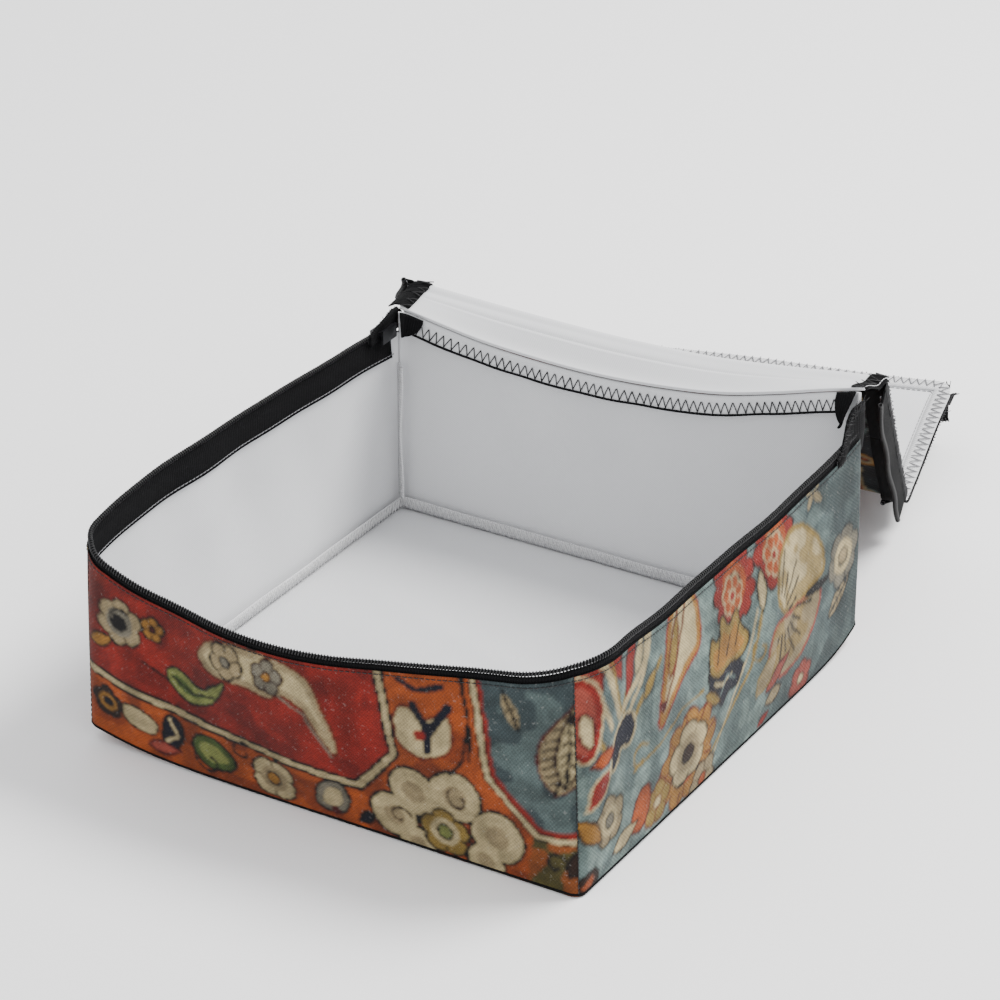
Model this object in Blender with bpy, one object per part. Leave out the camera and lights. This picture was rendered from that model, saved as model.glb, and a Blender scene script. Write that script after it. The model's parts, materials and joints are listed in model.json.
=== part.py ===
# Soft zip-up packing cube, lid folded back. Units are metres, +Z up.
# The base underside sits on z = 0, the lid hinge is along the back (+Y) edge.
import math

import bmesh
import bpy
from mathutils import Matrix, Vector

for old in list(bpy.data.objects):
    bpy.data.objects.remove(old)

# ---- driving sizes -------------------------------------------------------
case_width = 0.250
case_depth = 0.256
rim_height = 0.100
lid_band = 0.018
base_corner_radius = 0.005
rim_corner_radius = 0.024
back_corner_radius = 0.005
cloth_thickness = 0.0012
tape_thickness = 0.0008
seam_width = 0.0080
coil_radius = 0.0012
zip_open_gap = 0.0025
tape_depth_inside = 0.0160
tape_showing = 0.0050

# lid drape: lengths along the cloth and angles above level
lid_a_length = 0.022
lid_a_rise = 5.0
lid_b_fall = 50.0
lid_b_turn = 11.0
lid_c_rise = 9.0
fold_height = 0.014
right_tape_swing = 172.0
left_tape_swing = 100.0
right_front_tape_swing = 245.0
left_front_tape_swing = 215.0
front_tape_swing = 190.0

# slider sizes
slider_length = 0.012
slider_wall = 0.0010
slider_bore = 0.0017
pull_length = 0.021
pull_height = 0.0085

# ---- clearances ----------------------------------------------------------
part_gap = 0.0003
fold_gap = 0.0010
hinge_gap = 0.0014
edge_gap = 0.0030

# ---- derived -------------------------------------------------------------
half_width = case_width / 2
half_depth = case_depth / 2
lid_height = rim_height + lid_band
tape_inset = cloth_thickness + part_gap + tape_thickness / 2
rim_coil_z = rim_height - coil_radius
rim_tape_top = rim_height - 2 * coil_radius - part_gap
wall_top = rim_height - tape_showing
lid_coil_z = rim_height + zip_open_gap + coil_radius
lid_tape_bottom = lid_coil_z + coil_radius + part_gap
lid_tape_top = lid_height - 0.0005
hinge_y = half_depth - cloth_thickness / 2
panel_half_width = half_width - tape_inset - edge_gap
panel_front = half_depth - tape_inset - edge_gap
panel_end = hinge_y + panel_front
back_wall_top = lid_height - hinge_gap - cloth_thickness / 2
zip_end_back = half_depth - 0.0060
ridge_height = lid_height + lid_a_length * math.sin(math.radians(lid_a_rise))
turn_slope = math.tan(math.radians(lid_b_turn))
lid_b_drop = math.sin(math.radians(lid_b_fall)) * math.cos(math.radians(lid_b_turn))
lid_b_length = (ridge_height - fold_height) / lid_b_drop
fold_1 = lid_a_length
fold_2 = lid_a_length + lid_b_length
left_gather = 2 * panel_half_width * turn_slope


def make_material(name, colour, roughness, metallic=0.0):
    mat = bpy.data.materials.new(name)
    mat.use_nodes = True
    shader = mat.node_tree.nodes["Principled BSDF"]
    shader.inputs["Base Color"].default_value = (*colour, 1.0)
    shader.inputs["Roughness"].default_value = roughness
    shader.inputs["Metallic"].default_value = metallic
    mat.diffuse_color = (*colour, 1.0)
    return mat


red_print = make_material("red_print", (0.45, 0.10, 0.06), 0.85)
blue_print = make_material("blue_print", (0.21, 0.29, 0.34), 0.85)
white_cloth = make_material("white_cloth", (0.72, 0.72, 0.74), 0.85)
black_tape = make_material("black_tape", (0.015, 0.015, 0.018), 0.8)
coil_black = make_material("coil_black", (0.03, 0.03, 0.033), 0.35)
slider_black = make_material("slider_black", (0.04, 0.04, 0.045), 0.35, 0.6)

made = {}


def finish_mesh(name, verts, faces, mat, parent=None, pivot=Vector()):
    mesh = bpy.data.meshes.new(name)
    shifted = [Vector(v) - pivot for v in verts]
    mesh.from_pydata(shifted, [], faces)
    bm = bmesh.new()
    bm.from_mesh(mesh)
    bmesh.ops.recalc_face_normals(bm, faces=bm.faces)
    if bm.calc_volume(signed=True) < 0:
        bmesh.ops.reverse_faces(bm, faces=bm.faces)
    bm.to_mesh(mesh)
    bm.free()
    mesh.materials.append(mat)
    obj = bpy.data.objects.new(name, mesh)
    bpy.context.scene.collection.objects.link(obj)
    if parent is None:
        obj.location = pivot
    else:
        obj.parent = parent
    made[name] = obj
    return obj


# ---- outline of the case: rounded rectangle whose front corners open up with height
def corner_radius(corner, height):
    share = min(max(height / rim_height, 0.0), 1.0)
    top = rim_corner_radius if corner in (0, 1) else back_corner_radius
    return base_corner_radius + (top - base_corner_radius) * share


corner_signs = [(-1, -1), (1, -1), (1, 1), (-1, 1)]


def outline_point(station, height, inset):
    """Point on the case outline; a station is (corner, next corner, share, angle)."""
    first, second, share, angle = station
    normal = Vector((math.cos(angle), math.sin(angle), 0.0))
    ends = []
    for corner in (first, second):
        radius = corner_radius(corner, height)
        sx, sy = corner_signs[corner]
        centre = Vector((sx * (half_width - radius), sy * (half_depth - radius), height))
        ends.append(centre + normal * (radius - inset))
    return ends[0].lerp(ends[1], share)


def side_angle(side):
    return math.radians(-90 + 90 * side)


def arc_stations(corner, start, stop, steps):
    """Stations round one corner; start and stop are shares of its quarter turn."""
    base = side_angle(corner) - math.pi / 2
    out = []
    for k in range(steps + 1):
        share = start + (stop - start) * k / steps
        out.append((corner, corner, 0.0, base + share * math.pi / 2))
    return out


def side_stations(side, start, stop, steps):
    first, second = side, (side + 1) % 4
    angle = side_angle(side)
    return [(first, second, start + (stop - start) * k / steps, angle) for k in range(steps + 1)]


def join_stations(*runs):
    out = []
    for run in runs:
        for station in run:
            repeat = out and (outline_point(out[-1], lid_height, 0) - outline_point(station, lid_height, 0)).length < 1e-6
            if not repeat:
                out.append(station)
    return out


def share_at(side, distance_back):
    """Share along a left or right side for a point this far in front of the hinge line."""
    y = hinge_y - distance_back
    back_centre = half_depth - back_corner_radius
    front_centre = -(half_depth - rim_corner_radius)
    along = (back_centre - y) / (back_centre - front_centre)
    return along if side == 3 else 1 - along


def ribbon(name, stations, profile, mat, closed=False, parent=None, pivot=Vector()):
    """Sweeps a closed (height, inset) profile along the outline."""
    count = len(profile)
    verts = []
    for station in stations:
        for height, inset in profile:
            verts.append(outline_point(station, height, inset))
    rows = len(stations)
    faces = []
    for i in range(rows if closed else rows - 1):
        j = (i + 1) % rows
        for k in range(count):
            m = (k + 1) % count
            faces.append((i * count + k, i * count + m, j * count + m, j * count + k))
    if not closed:
        faces.append(tuple(range(count)))
        faces.append(tuple(range((rows - 1) * count, rows * count)))
    return finish_mesh(name, verts, faces, mat, parent, pivot)


def box_profile(low, high, inset, thick):
    return [(low, inset), (high, inset), (high, inset + thick), (low, inset + thick)]


def round_profile(height, inset, radius, steps=8):
    out = []
    for k in range(steps):
        turn = 2 * math.pi * k / steps
        out.append((height + radius * math.cos(turn), inset + radius * math.sin(turn)))
    return out


def plate(name, corners, low, high, mat, parent=None, pivot=Vector()):
    """Extrudes a polygon of (x, y) corners from low to high."""
    count = len(corners)
    verts = [Vector((x, y, low)) for x, y in corners] + [Vector((x, y, high)) for x, y in corners]
    faces = [tuple(range(count)), tuple(range(count, 2 * count))]
    for k in range(count):
        m = (k + 1) % count
        faces.append((k, m, count + m, count + k))
    return finish_mesh(name, verts, faces, mat, parent, pivot)


def full_side(side, trim=0.0):
    """Half of each end corner and the straight run between them, a seam gap short of both ends."""
    nxt = (side + 1) % 4
    return join_stations(
        arc_stations(side, 0.5 + trim, 1.0, 4),
        side_stations(side, 0.0, 1.0, 6),
        arc_stations(nxt, 0.0, 0.5 - trim, 4),
    )


def seam_trim(corner_r):
    return (part_gap / 2) / (corner_r * math.pi / 2)


# ---- base and walls ------------------------------------------------------
base_stations = join_stations(*[
    run for side in range(4)
    for run in (arc_stations(side, 0.0, 1.0, 3), side_stations(side, 0.0, 1.0, 1))
])[:-1]
base_corners = [outline_point(s, 0.0, 0.0).to_2d()[:] for s in base_stations]
plate("base_panel", base_corners, 0.0, cloth_thickness, red_print)

wall_low = cloth_thickness + part_gap
trim = seam_trim(base_corner_radius)
side_names = ["front_wall", "right_wall", "back_wall", "left_wall"]
for side, name in enumerate(side_names):
    high = back_wall_top if side == 2 else wall_top
    mat = red_print if side in (0, 3) else blue_print
    profile = box_profile(wall_low, high, 0.0, cloth_thickness)
    if side == 2:
        profile = [
            (wall_low, 0.0), (rim_height, 0.0), (high, 0.0),
            (high, cloth_thickness), (rim_height, cloth_thickness), (wall_low, cloth_thickness),
        ]
    ribbon(name, full_side(side, trim), profile, mat)

# the back wall's top above the side walls stops short of the corner; covered by the zip ends

# ---- inside seams --------------------------------------------------------
inner = cloth_thickness + part_gap
ribbon("base_seam_binding", base_stations, box_profile(wall_low, wall_low + 0.0070, inner, 0.0010), black_tape, closed=True)

corner_names = ["corner_seam_front_left", "corner_seam_front_right", "corner_seam_back_right", "corner_seam_back_left"]
for corner, name in enumerate(corner_names):
    middle = arc_stations(corner, 0.5, 0.5, 1)[0]
    angle = middle[3]
    across = Vector((-math.sin(angle), math.cos(angle), 0.0)) * 0.0006
    low = wall_low + 0.0070 + part_gap + 0.0004
    high = wall_top - tape_depth_inside - 0.0010
    verts = []
    for height in (low, high):
        for inset, sign in ((inner + 0.0002, -1), (inner + 0.0068, -1), (inner + 0.0068, 1), (inner + 0.0002, 1)):
            verts.append(outline_point(middle, height, inset) + across * sign)
    faces = [(0, 1, 2, 3), (4, 5, 6, 7), (0, 1, 5, 4), (1, 2, 6, 5), (2, 3, 7, 6), (3, 0, 4, 7)]
    finish_mesh(name, verts, faces, white_cloth)

# ---- zip on the rim ------------------------------------------------------
zip_end_distance = hinge_y - zip_end_back
rim_stations = join_stations(
    side_stations(3, share_at(3, zip_end_distance), 1.0, 6),
    arc_stations(0, 0.0, 1.0, 8),
    side_stations(0, 0.0, 1.0, 6),
    arc_stations(1, 0.0, 1.0, 8),
    side_stations(1, 0.0, share_at(1, zip_end_distance), 6),
)
tape_low = wall_top - tape_depth_inside + tape_showing
rim_tape_profile = box_profile(tape_low, rim_tape_top, inner, tape_thickness)
ribbon("rim_tape", rim_stations, rim_tape_profile, black_tape)
ribbon("rim_coil", rim_stations, round_profile(rim_coil_z, tape_inset, coil_radius), coil_black)

# ---- seam allowance under the hinge --------------------------------------
hinge_low = back_wall_top - seam_width
hinge_stations = side_stations(2, 0.01, 0.99, 6)
ribbon("hinge_seam_allowance", hinge_stations, box_profile(hinge_low, back_wall_top, inner, 0.0008), white_cloth)

# ---- sewn zip ends that fill the gap beside the hinge ---------------------
end_low = rim_height + 0.0042
end_high = lid_height - 0.0040
for side, name in ((3, "zip_end_left"), (1, "zip_end_right")):
    front_share = share_at(side, lid_a_length + 0.0040)
    back_share = share_at(side, zip_end_distance)
    run = side_stations(side, min(front_share, back_share), max(front_share, back_share), 2)
    low = end_low if side == 3 else rim_height + part_gap
    ribbon(name, run, box_profile(low, end_high, tape_inset - 0.0008, 0.0016), black_tape)


# ---- lid joints: empties carry the drape, the cloth is laid out as if closed ----
def make_pivot(name, point, parent, parent_point, matrix):
    empty = bpy.data.objects.new(name, None)
    bpy.context.scene.collection.objects.link(empty)
    empty.empty_display_size = 0.01
    empty.parent = parent
    local = Matrix.Translation(point - parent_point) @ matrix.to_4x4()
    empty.matrix_local = local
    return empty


def turn(degrees, axis):
    return Matrix.Rotation(math.radians(degrees), 3, axis)


hinge_point = Vector((0.0, hinge_y, lid_height))
fold_1_point = Vector((panel_half_width, hinge_y - fold_1, lid_height))
fold_2_point = Vector((panel_half_width, hinge_y - fold_2, lid_height))
hinge_turn = -(180.0 - lid_a_rise)
fold_1_turn = -(lid_a_rise + lid_b_fall)
fold_2_turn = lid_b_fall + lid_c_rise
swivel = turn(-lid_b_turn, "Z")
slant_axis = Vector((math.cos(math.radians(lid_b_turn)), math.sin(math.radians(lid_b_turn)), 0.0))
lid_a = make_pivot("pivot_lid_a", hinge_point, None, Vector(), turn(hinge_turn, "X"))
lid_b = make_pivot("pivot_lid_b", fold_1_point, lid_a, hinge_point, turn(fold_1_turn, "X") @ swivel)
lid_c = make_pivot("pivot_lid_c", fold_2_point, lid_b, fold_1_point, turn(fold_2_turn, slant_axis))

panel_low = lid_height - cloth_thickness / 2
panel_high = lid_height + cloth_thickness / 2


def strip_panel(start, stop, left_start, left_stop):
    """Panel between two folds; the distances are behind the hinge line at the right and left edges."""
    right = panel_half_width
    return [
        (-right, hinge_y - left_start), (right, hinge_y - start),
        (right, hinge_y - stop), (-right, hinge_y - left_stop),
    ]


# the turn gathers the cloth at the left end of the rear fold, so panel b starts further along there
a_stop = fold_1 - fold_gap / 2
b_start = fold_1 + fold_gap / 2
b_stop = fold_2 - fold_gap / 2
c_start = fold_2 + fold_gap / 2
a_corners = strip_panel(hinge_gap, a_stop, hinge_gap, a_stop)
b_corners = strip_panel(b_start, b_stop, b_start + left_gather, b_stop + left_gather)
plate("lid_panel_a", a_corners, panel_low, panel_high, blue_print, lid_a, hinge_point)
plate("lid_panel_b", b_corners, panel_low, panel_high, blue_print, lid_b, fold_1_point)

panel_inset = tape_inset + edge_gap
front_run = join_stations(
    side_stations(3, share_at(3, c_start + left_gather), 1.0, 2),
    arc_stations(0, 0.0, 1.0, 8),
    side_stations(0, 0.0, 1.0, 4),
    arc_stations(1, 0.0, 1.0, 8),
    side_stations(1, 0.0, share_at(1, c_start), 2),
)
front_corners = [outline_point(s, lid_height, panel_inset).to_2d()[:] for s in front_run]
plate("lid_panel_c", front_corners, panel_low, panel_high, blue_print, lid_c, fold_2_point)

# serged seam allowances lie on the inner face of the lid
allow_high = panel_low - part_gap
allow_profile = box_profile(allow_high - 0.0008, allow_high, panel_inset + 0.0002, seam_width)


def side_run(side, start, stop, steps):
    shares = sorted((share_at(side, start), share_at(side, stop)))
    return side_stations(side, shares[0], shares[1], steps)


ribbon("lid_seam_left_a", side_run(3, 0.0040, fold_1 - fold_gap, 1), allow_profile, white_cloth, parent=lid_a, pivot=hinge_point)
ribbon("lid_seam_right_a", side_run(1, 0.0040, fold_1 - fold_gap, 1), allow_profile, white_cloth, parent=lid_a, pivot=hinge_point)
seam_clear = 0.0030
left_b_run = side_run(3, fold_1 + left_gather + seam_clear, fold_2 + left_gather - seam_clear, 4)
right_b_run = side_run(1, fold_1 + seam_clear, fold_2 - seam_clear, 4)
ribbon("lid_seam_left_b", left_b_run, allow_profile, white_cloth, parent=lid_b, pivot=fold_1_point)
ribbon("lid_seam_right_b", right_b_run, allow_profile, white_cloth, parent=lid_b, pivot=fold_1_point)
allow_run = join_stations(
    side_stations(3, share_at(3, fold_2 + left_gather + seam_clear), 1.0, 2),
    front_run[3:-3],
    side_stations(1, 0.0, share_at(1, fold_2 + seam_clear), 2),
)
ribbon("lid_seam_front_c", allow_run, allow_profile, white_cloth, parent=lid_c, pivot=fold_2_point)

# ---- zip tape bands on the lid -------------------------------------------
band_profile = box_profile(lid_tape_bottom, lid_tape_top, tape_inset - tape_thickness / 2, tape_thickness)
coil_profile = round_profile(lid_coil_z, tape_inset, coil_radius)
left_x = -(half_width - tape_inset)
right_x = half_width - tape_inset
front_y = -(half_depth - tape_inset)


def make_band(label, point, holder, holder_point, matrix, run):
    pivot = make_pivot("pivot_band_" + label, point, holder, holder_point, matrix)
    ribbon("lid_tape_" + label, run, band_profile, black_tape, parent=pivot, pivot=point)
    ribbon("lid_coil_" + label, run, coil_profile, coil_black, parent=pivot, pivot=point)


def side_band(label, side, start, stop, holder, holder_point, swing):
    """A straight band on one side edge; the swing is how far it stands from hanging shut."""
    x = left_x if side == 3 else right_x
    sign = 1 if side == 3 else -1
    point = Vector((x, hinge_y - (start + stop) / 2, lid_height))
    make_band(label, point, holder, holder_point, turn(sign * swing, "Y"), side_run(side, start, stop, 4))


band_clear = 0.0080
end_clear = 0.0010
front_stop = hinge_y + half_depth - rim_corner_radius
left_1 = fold_1 + left_gather
left_2 = fold_2 + left_gather
side_band("left_b", 3, left_1 + band_clear, left_2 - end_clear, lid_b, fold_1_point, left_tape_swing)
side_band("right_b", 1, fold_1 + band_clear, fold_2 - end_clear, lid_b, fold_1_point, right_tape_swing)
side_band("left_c", 3, left_2 + end_clear, front_stop, lid_c, fold_2_point, left_front_tape_swing)
side_band("right_c", 1, fold_2 + end_clear, front_stop, lid_c, fold_2_point, right_front_tape_swing)
front_c_point = Vector((0.0, front_y, lid_height))
front_band_run = side_stations(0, 0.0, 1.0, 6)
make_band("front_c", front_c_point, lid_c, fold_2_point, turn(-front_tape_swing, "X"), front_band_run)


# ---- slider and pull -----------------------------------------------------
def box_mesh(name, low, high, mat, parent=None, pivot=Vector()):
    corners = [(low[0], low[1]), (high[0], low[1]), (high[0], high[1]), (low[0], high[1])]
    return plate(name, corners, low[2], high[2], mat, parent, pivot)


def boxes_mesh(name, profile, axis_low, axis_high, mat, parent=None, pivot=Vector()):
    """Extrudes an (x, y) profile along z."""
    return plate(name, profile, axis_low, axis_high, mat, parent, pivot)


slider_y = zip_end_back - slider_length / 2 - 0.0010
slider_low = rim_coil_z - coil_radius - 0.0015
slider_high = rim_height + zip_open_gap + 0.0006
wedge_low = rim_height + part_gap
wedge_high = rim_height + zip_open_gap - part_gap
slider_point = Vector((left_x, slider_y, rim_coil_z))


def slider_profile_mesh():
    """Two plates joined by a thin wedge above the rim coil, as one body: an H turned on its side."""
    near = slider_bore
    far = slider_bore + slider_wall
    half = slider_length / 2
    cross = [
        (-far, slider_low), (-near, slider_low), (-near, wedge_low), (near, wedge_low), (near, slider_low), (far, slider_low),
        (far, slider_high), (near, slider_high), (near, wedge_high), (-near, wedge_high), (-near, slider_high), (-far, slider_high),
    ]
    count = len(cross)
    verts = []
    for y in (slider_y - half, slider_y + half):
        for dx, z in cross:
            verts.append(Vector((left_x + dx, y, z)))
    faces = [tuple(range(count)), tuple(range(count, 2 * count))]
    for k in range(count):
        m = (k + 1) % count
        faces.append((k, m, count + m, count + k))
    finish_mesh("slider_body", verts, faces, slider_black, None, slider_point)


slider_profile_mesh()
face_x = left_x - slider_bore - slider_wall - part_gap
bridge_gap = 0.0026
bridge_wall = 0.0009
bridge_half = 0.0042
bridge_z = (slider_low + slider_high) / 2
bridge_profile = [
    (face_x, slider_y - bridge_half),
    (face_x - bridge_gap - bridge_wall, slider_y - bridge_half + 0.0008),
    (face_x - bridge_gap - bridge_wall, slider_y + bridge_half - 0.0008),
    (face_x, slider_y + bridge_half),
    (face_x, slider_y + bridge_half - bridge_wall * 1.3),
    (face_x - bridge_gap, slider_y + bridge_half - bridge_wall * 1.9),
    (face_x - bridge_gap, slider_y - bridge_half + bridge_wall * 1.9),
    (face_x, slider_y - bridge_half + bridge_wall * 1.3),
]
boxes_mesh("slider_bridge", bridge_profile, bridge_z - 0.0010, bridge_z + 0.0010, slider_black, None, slider_point)

# the pull is a flat tab with an eye whose end bar passes under the bridge
pull_x = face_x - bridge_gap / 2
pull_thick = 0.0010
eye_half = 0.0014
arm = 0.0014
eye_length = 0.0062
bar_half = 0.0006
pull_point = Vector((pull_x, slider_y, bridge_z))
outer = [
    (-bar_half, -eye_half - arm), (eye_length, -eye_half - arm), (eye_length + 0.0010, -pull_height / 2),
    (pull_length - 0.0020, -pull_height / 2), (pull_length, -pull_height / 2 + 0.0020),
    (pull_length, pull_height / 2 - 0.0020), (pull_length - 0.0020, pull_height / 2),
    (eye_length + 0.0010, pull_height / 2), (eye_length, eye_half + arm), (-bar_half, eye_half + arm),
]
hole = [(bar_half, -eye_half), (eye_length, -eye_half), (eye_length, eye_half), (bar_half, eye_half)]


def pull_mesh():
    bm = bmesh.new()
    loops = []
    for ring in (outer, hole):
        verts = [bm.verts.new((pull_x, slider_y + a, bridge_z + b)) for a, b in ring]
        loops.append([bm.edges.new((verts[k], verts[(k + 1) % len(verts)])) for k in range(len(verts))])
    bmesh.ops.triangle_fill(bm, edges=loops[0] + loops[1], use_beauty=True)
    top = bmesh.ops.extrude_face_region(bm, geom=list(bm.faces))
    moved = [g for g in top["geom"] if isinstance(g, bmesh.types.BMVert)]
    bmesh.ops.translate(bm, verts=moved, vec=Vector((pull_thick, 0, 0)))
    bmesh.ops.translate(bm, verts=bm.verts, vec=Vector((-pull_thick / 2, 0, 0)))
    bm.verts.index_update()
    verts = [v.co.copy() for v in bm.verts]
    faces = [tuple(v.index for v in f.verts) for f in bm.faces]
    bm.free()
    finish_mesh("pull_tab", verts, faces, slider_black, None, pull_point)


pull_mesh()
bpy.context.view_layer.update()
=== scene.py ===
# Packing cube, lid open, seen from above its front right corner
import json
import math

import bpy
import numpy as np
from mathutils import Matrix, Vector

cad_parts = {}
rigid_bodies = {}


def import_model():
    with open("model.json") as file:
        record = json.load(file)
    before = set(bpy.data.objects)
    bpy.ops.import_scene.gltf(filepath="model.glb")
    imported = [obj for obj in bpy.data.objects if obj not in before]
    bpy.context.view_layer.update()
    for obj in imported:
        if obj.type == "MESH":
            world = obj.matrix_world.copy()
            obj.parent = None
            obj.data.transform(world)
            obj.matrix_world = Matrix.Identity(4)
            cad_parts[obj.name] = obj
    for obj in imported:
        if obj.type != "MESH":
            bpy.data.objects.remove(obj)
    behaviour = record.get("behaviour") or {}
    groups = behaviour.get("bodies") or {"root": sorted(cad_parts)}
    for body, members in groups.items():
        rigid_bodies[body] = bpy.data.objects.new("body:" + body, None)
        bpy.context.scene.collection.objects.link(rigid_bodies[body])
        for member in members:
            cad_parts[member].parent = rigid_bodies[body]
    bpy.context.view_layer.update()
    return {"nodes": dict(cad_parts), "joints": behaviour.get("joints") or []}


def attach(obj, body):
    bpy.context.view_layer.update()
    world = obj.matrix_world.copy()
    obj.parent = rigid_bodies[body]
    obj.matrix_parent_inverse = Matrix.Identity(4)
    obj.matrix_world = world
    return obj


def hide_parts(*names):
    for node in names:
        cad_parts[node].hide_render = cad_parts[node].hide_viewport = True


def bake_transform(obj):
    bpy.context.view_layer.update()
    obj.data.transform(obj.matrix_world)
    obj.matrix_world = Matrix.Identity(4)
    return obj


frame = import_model()
scene = bpy.context.scene
mm = 0.001


# camera, floor and light

viewValues = {
    "azimuth": 31.0,
    "elevation": 27.7,
    "distance": 1.877,
    "target": (-0.0468, 0.0939, 0.040),
    "lens": 144.0,
    "keyPower": 72.0,
    "rimPower": 5.0,
    "skyStrength": 1.32,
    "floorColour": (0.93, 0.93, 0.935, 1.0),
}


def setCamera(values):
    az, el = math.radians(values["azimuth"]), math.radians(values["elevation"])
    back = Vector((math.sin(az) * math.cos(el), -math.cos(az) * math.cos(el), math.sin(el)))
    data = bpy.data.cameras.new("camera")
    data.lens = values["lens"]
    data.sensor_width = 36.0
    data.clip_start = 0.05
    data.clip_end = 30.0
    camera = bpy.data.objects.new("camera", data)
    scene.collection.objects.link(camera)
    camera.location = Vector(values["target"]) + back * values["distance"]
    camera.rotation_euler = back.to_track_quat("Z", "Y").to_euler()
    scene.camera = camera


def addArea(name, place, aim, size, power, colour):
    data = bpy.data.lights.new(name, "AREA")
    data.shape = "DISK"
    data.size = size
    data.energy = power
    data.color = colour
    lamp = bpy.data.objects.new(name, data)
    scene.collection.objects.link(lamp)
    lamp.location = place
    lamp.rotation_euler = (Vector(place) - Vector(aim)).to_track_quat("Z", "Y").to_euler()


def setLight(values):
    addArea("keyLight", (0.75, 1.05, 1.7), (0, 0.02, 0.05), 1.0, values["keyPower"], (1.0, 0.99, 0.97))
    addArea("sideLight", (1.3, -0.9, 0.9), (0, 0, 0.05), 1.2, values["rimPower"], (1.0, 1.0, 1.0))
    world = bpy.data.worlds.new("studio")
    world.use_nodes = True
    world.node_tree.nodes["Background"].inputs["Color"].default_value = (0.98, 0.985, 1.0, 1.0)
    world.node_tree.nodes["Background"].inputs["Strength"].default_value = values["skyStrength"]
    scene.world = world


def addFloor(values):
    mesh = bpy.data.meshes.new("floor")
    mesh.from_pydata([(-6, -6, -0.0002), (6, -6, -0.0002), (6, 6, -0.0002), (-6, 6, -0.0002)], [], [(0, 1, 2, 3)])
    floor = bpy.data.objects.new("floor", mesh)
    scene.collection.objects.link(floor)
    material = bpy.data.materials.new("floorPaint")
    material.use_nodes = True
    bsdf = material.node_tree.nodes["Principled BSDF"]
    bsdf.inputs["Base Color"].default_value = values["floorColour"]
    bsdf.inputs["Roughness"].default_value = 0.7
    mesh.materials.append(material)


setCamera(viewValues)
setLight(viewValues)
addFloor(viewValues)
print("stage ready")


# small shader helpers and the shared effects


def addNode(tree, kind, **settings):
    node = tree.nodes.new(kind)
    for key, value in settings.items():
        setattr(node, key, value)
    return node


def mathNode(tree, operation, a, b=None, clamp=False):
    node = addNode(tree, "ShaderNodeMath", operation=operation, use_clamp=clamp)
    for socket, value in zip(node.inputs, (a, b)):
        if value is None:
            continue
        if isinstance(value, (int, float)):
            socket.default_value = value
        else:
            tree.links.new(value, socket)
    return node.outputs[0]


def newGroup(name, inputs, outputs):
    tree = bpy.data.node_groups.new(name, "ShaderNodeTree")
    for label, kind, value in inputs:
        socket = tree.interface.new_socket(label, in_out="INPUT", socket_type=kind)
        if value is not None:
            socket.default_value = value
    for label, kind in outputs:
        tree.interface.new_socket(label, in_out="OUTPUT", socket_type=kind)
    return tree, tree.nodes.new("NodeGroupInput"), tree.nodes.new("NodeGroupOutput")


def buildWeave():
    # over and under of two crossing yarns, laid out on the cloth's own UV in metres
    tree, source, result = newGroup(
        "weave",
        [("UV", "NodeSocketVector", None), ("Yarns per metre", "NodeSocketFloat", 1000.0),
         ("Twill", "NodeSocketFloat", 0.0), ("Fuzz", "NodeSocketFloat", 0.3)],
        [("Height", "NodeSocketFloat"), ("Shade", "NodeSocketFloat")],
    )
    split = addNode(tree, "ShaderNodeSeparateXYZ")
    tree.links.new(source.outputs["UV"], split.inputs[0])
    turnRate = mathNode(tree, "MULTIPLY", source.outputs["Yarns per metre"], math.pi)
    skew = mathNode(tree, "MULTIPLY", split.outputs[1], source.outputs["Twill"])
    warp = mathNode(tree, "MULTIPLY", mathNode(tree, "ADD", split.outputs[0], skew), turnRate)
    weft = mathNode(tree, "MULTIPLY", split.outputs[1], turnRate)
    cross = mathNode(tree, "MULTIPLY", mathNode(tree, "SINE", warp), mathNode(tree, "SINE", weft))
    noise = addNode(tree, "ShaderNodeTexNoise")
    noise.inputs["Scale"].default_value = 900.0
    noise.inputs["Detail"].default_value = 2.0
    tree.links.new(source.outputs["UV"], noise.inputs["Vector"])
    rough = mathNode(tree, "MULTIPLY", mathNode(tree, "SUBTRACT", noise.outputs[0], 0.5), source.outputs["Fuzz"])
    tree.links.new(mathNode(tree, "ADD", cross, rough), result.inputs["Height"])
    shade = mathNode(tree, "ADD", mathNode(tree, "MULTIPLY", cross, 0.5), 0.5)
    tree.links.new(mathNode(tree, "ADD", shade, rough, clamp=True), result.inputs["Shade"])
    return tree


def buildHandling():
    # soft uneven tone from handling and folding
    tree, source, result = newGroup(
        "handling",
        [("Vector", "NodeSocketVector", None), ("Size", "NodeSocketFloat", 20.0),
         ("Depth", "NodeSocketFloat", 0.1)],
        [("Tone", "NodeSocketFloat"), ("Rumple", "NodeSocketFloat")],
    )
    wide = addNode(tree, "ShaderNodeTexNoise")
    wide.inputs["Detail"].default_value = 4.0
    tree.links.new(source.outputs["Vector"], wide.inputs["Vector"])
    tree.links.new(source.outputs["Size"], wide.inputs["Scale"])
    tone = mathNode(tree, "MULTIPLY", mathNode(tree, "SUBTRACT", wide.outputs[0], 0.5), source.outputs["Depth"])
    tree.links.new(mathNode(tree, "ADD", tone, 1.0), result.inputs["Tone"])
    tree.links.new(wide.outputs[0], result.inputs["Rumple"])
    return tree


def buildDust():
    tree, source, result = newGroup(
        "lint",
        [("Vector", "NodeSocketVector", None), ("Amount", "NodeSocketFloat", 0.2)],
        [("Mask", "NodeSocketFloat")],
    )
    cells = addNode(tree, "ShaderNodeTexNoise")
    cells.inputs["Scale"].default_value = 620.0
    cells.inputs["Detail"].default_value = 3.0
    tree.links.new(source.outputs["Vector"], cells.inputs["Vector"])
    high = mathNode(tree, "MULTIPLY", mathNode(tree, "SUBTRACT", cells.outputs[0], 0.62), 8.0, clamp=True)
    tree.links.new(mathNode(tree, "MULTIPLY", high, source.outputs["Amount"]), result.inputs["Mask"])
    return tree


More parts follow.
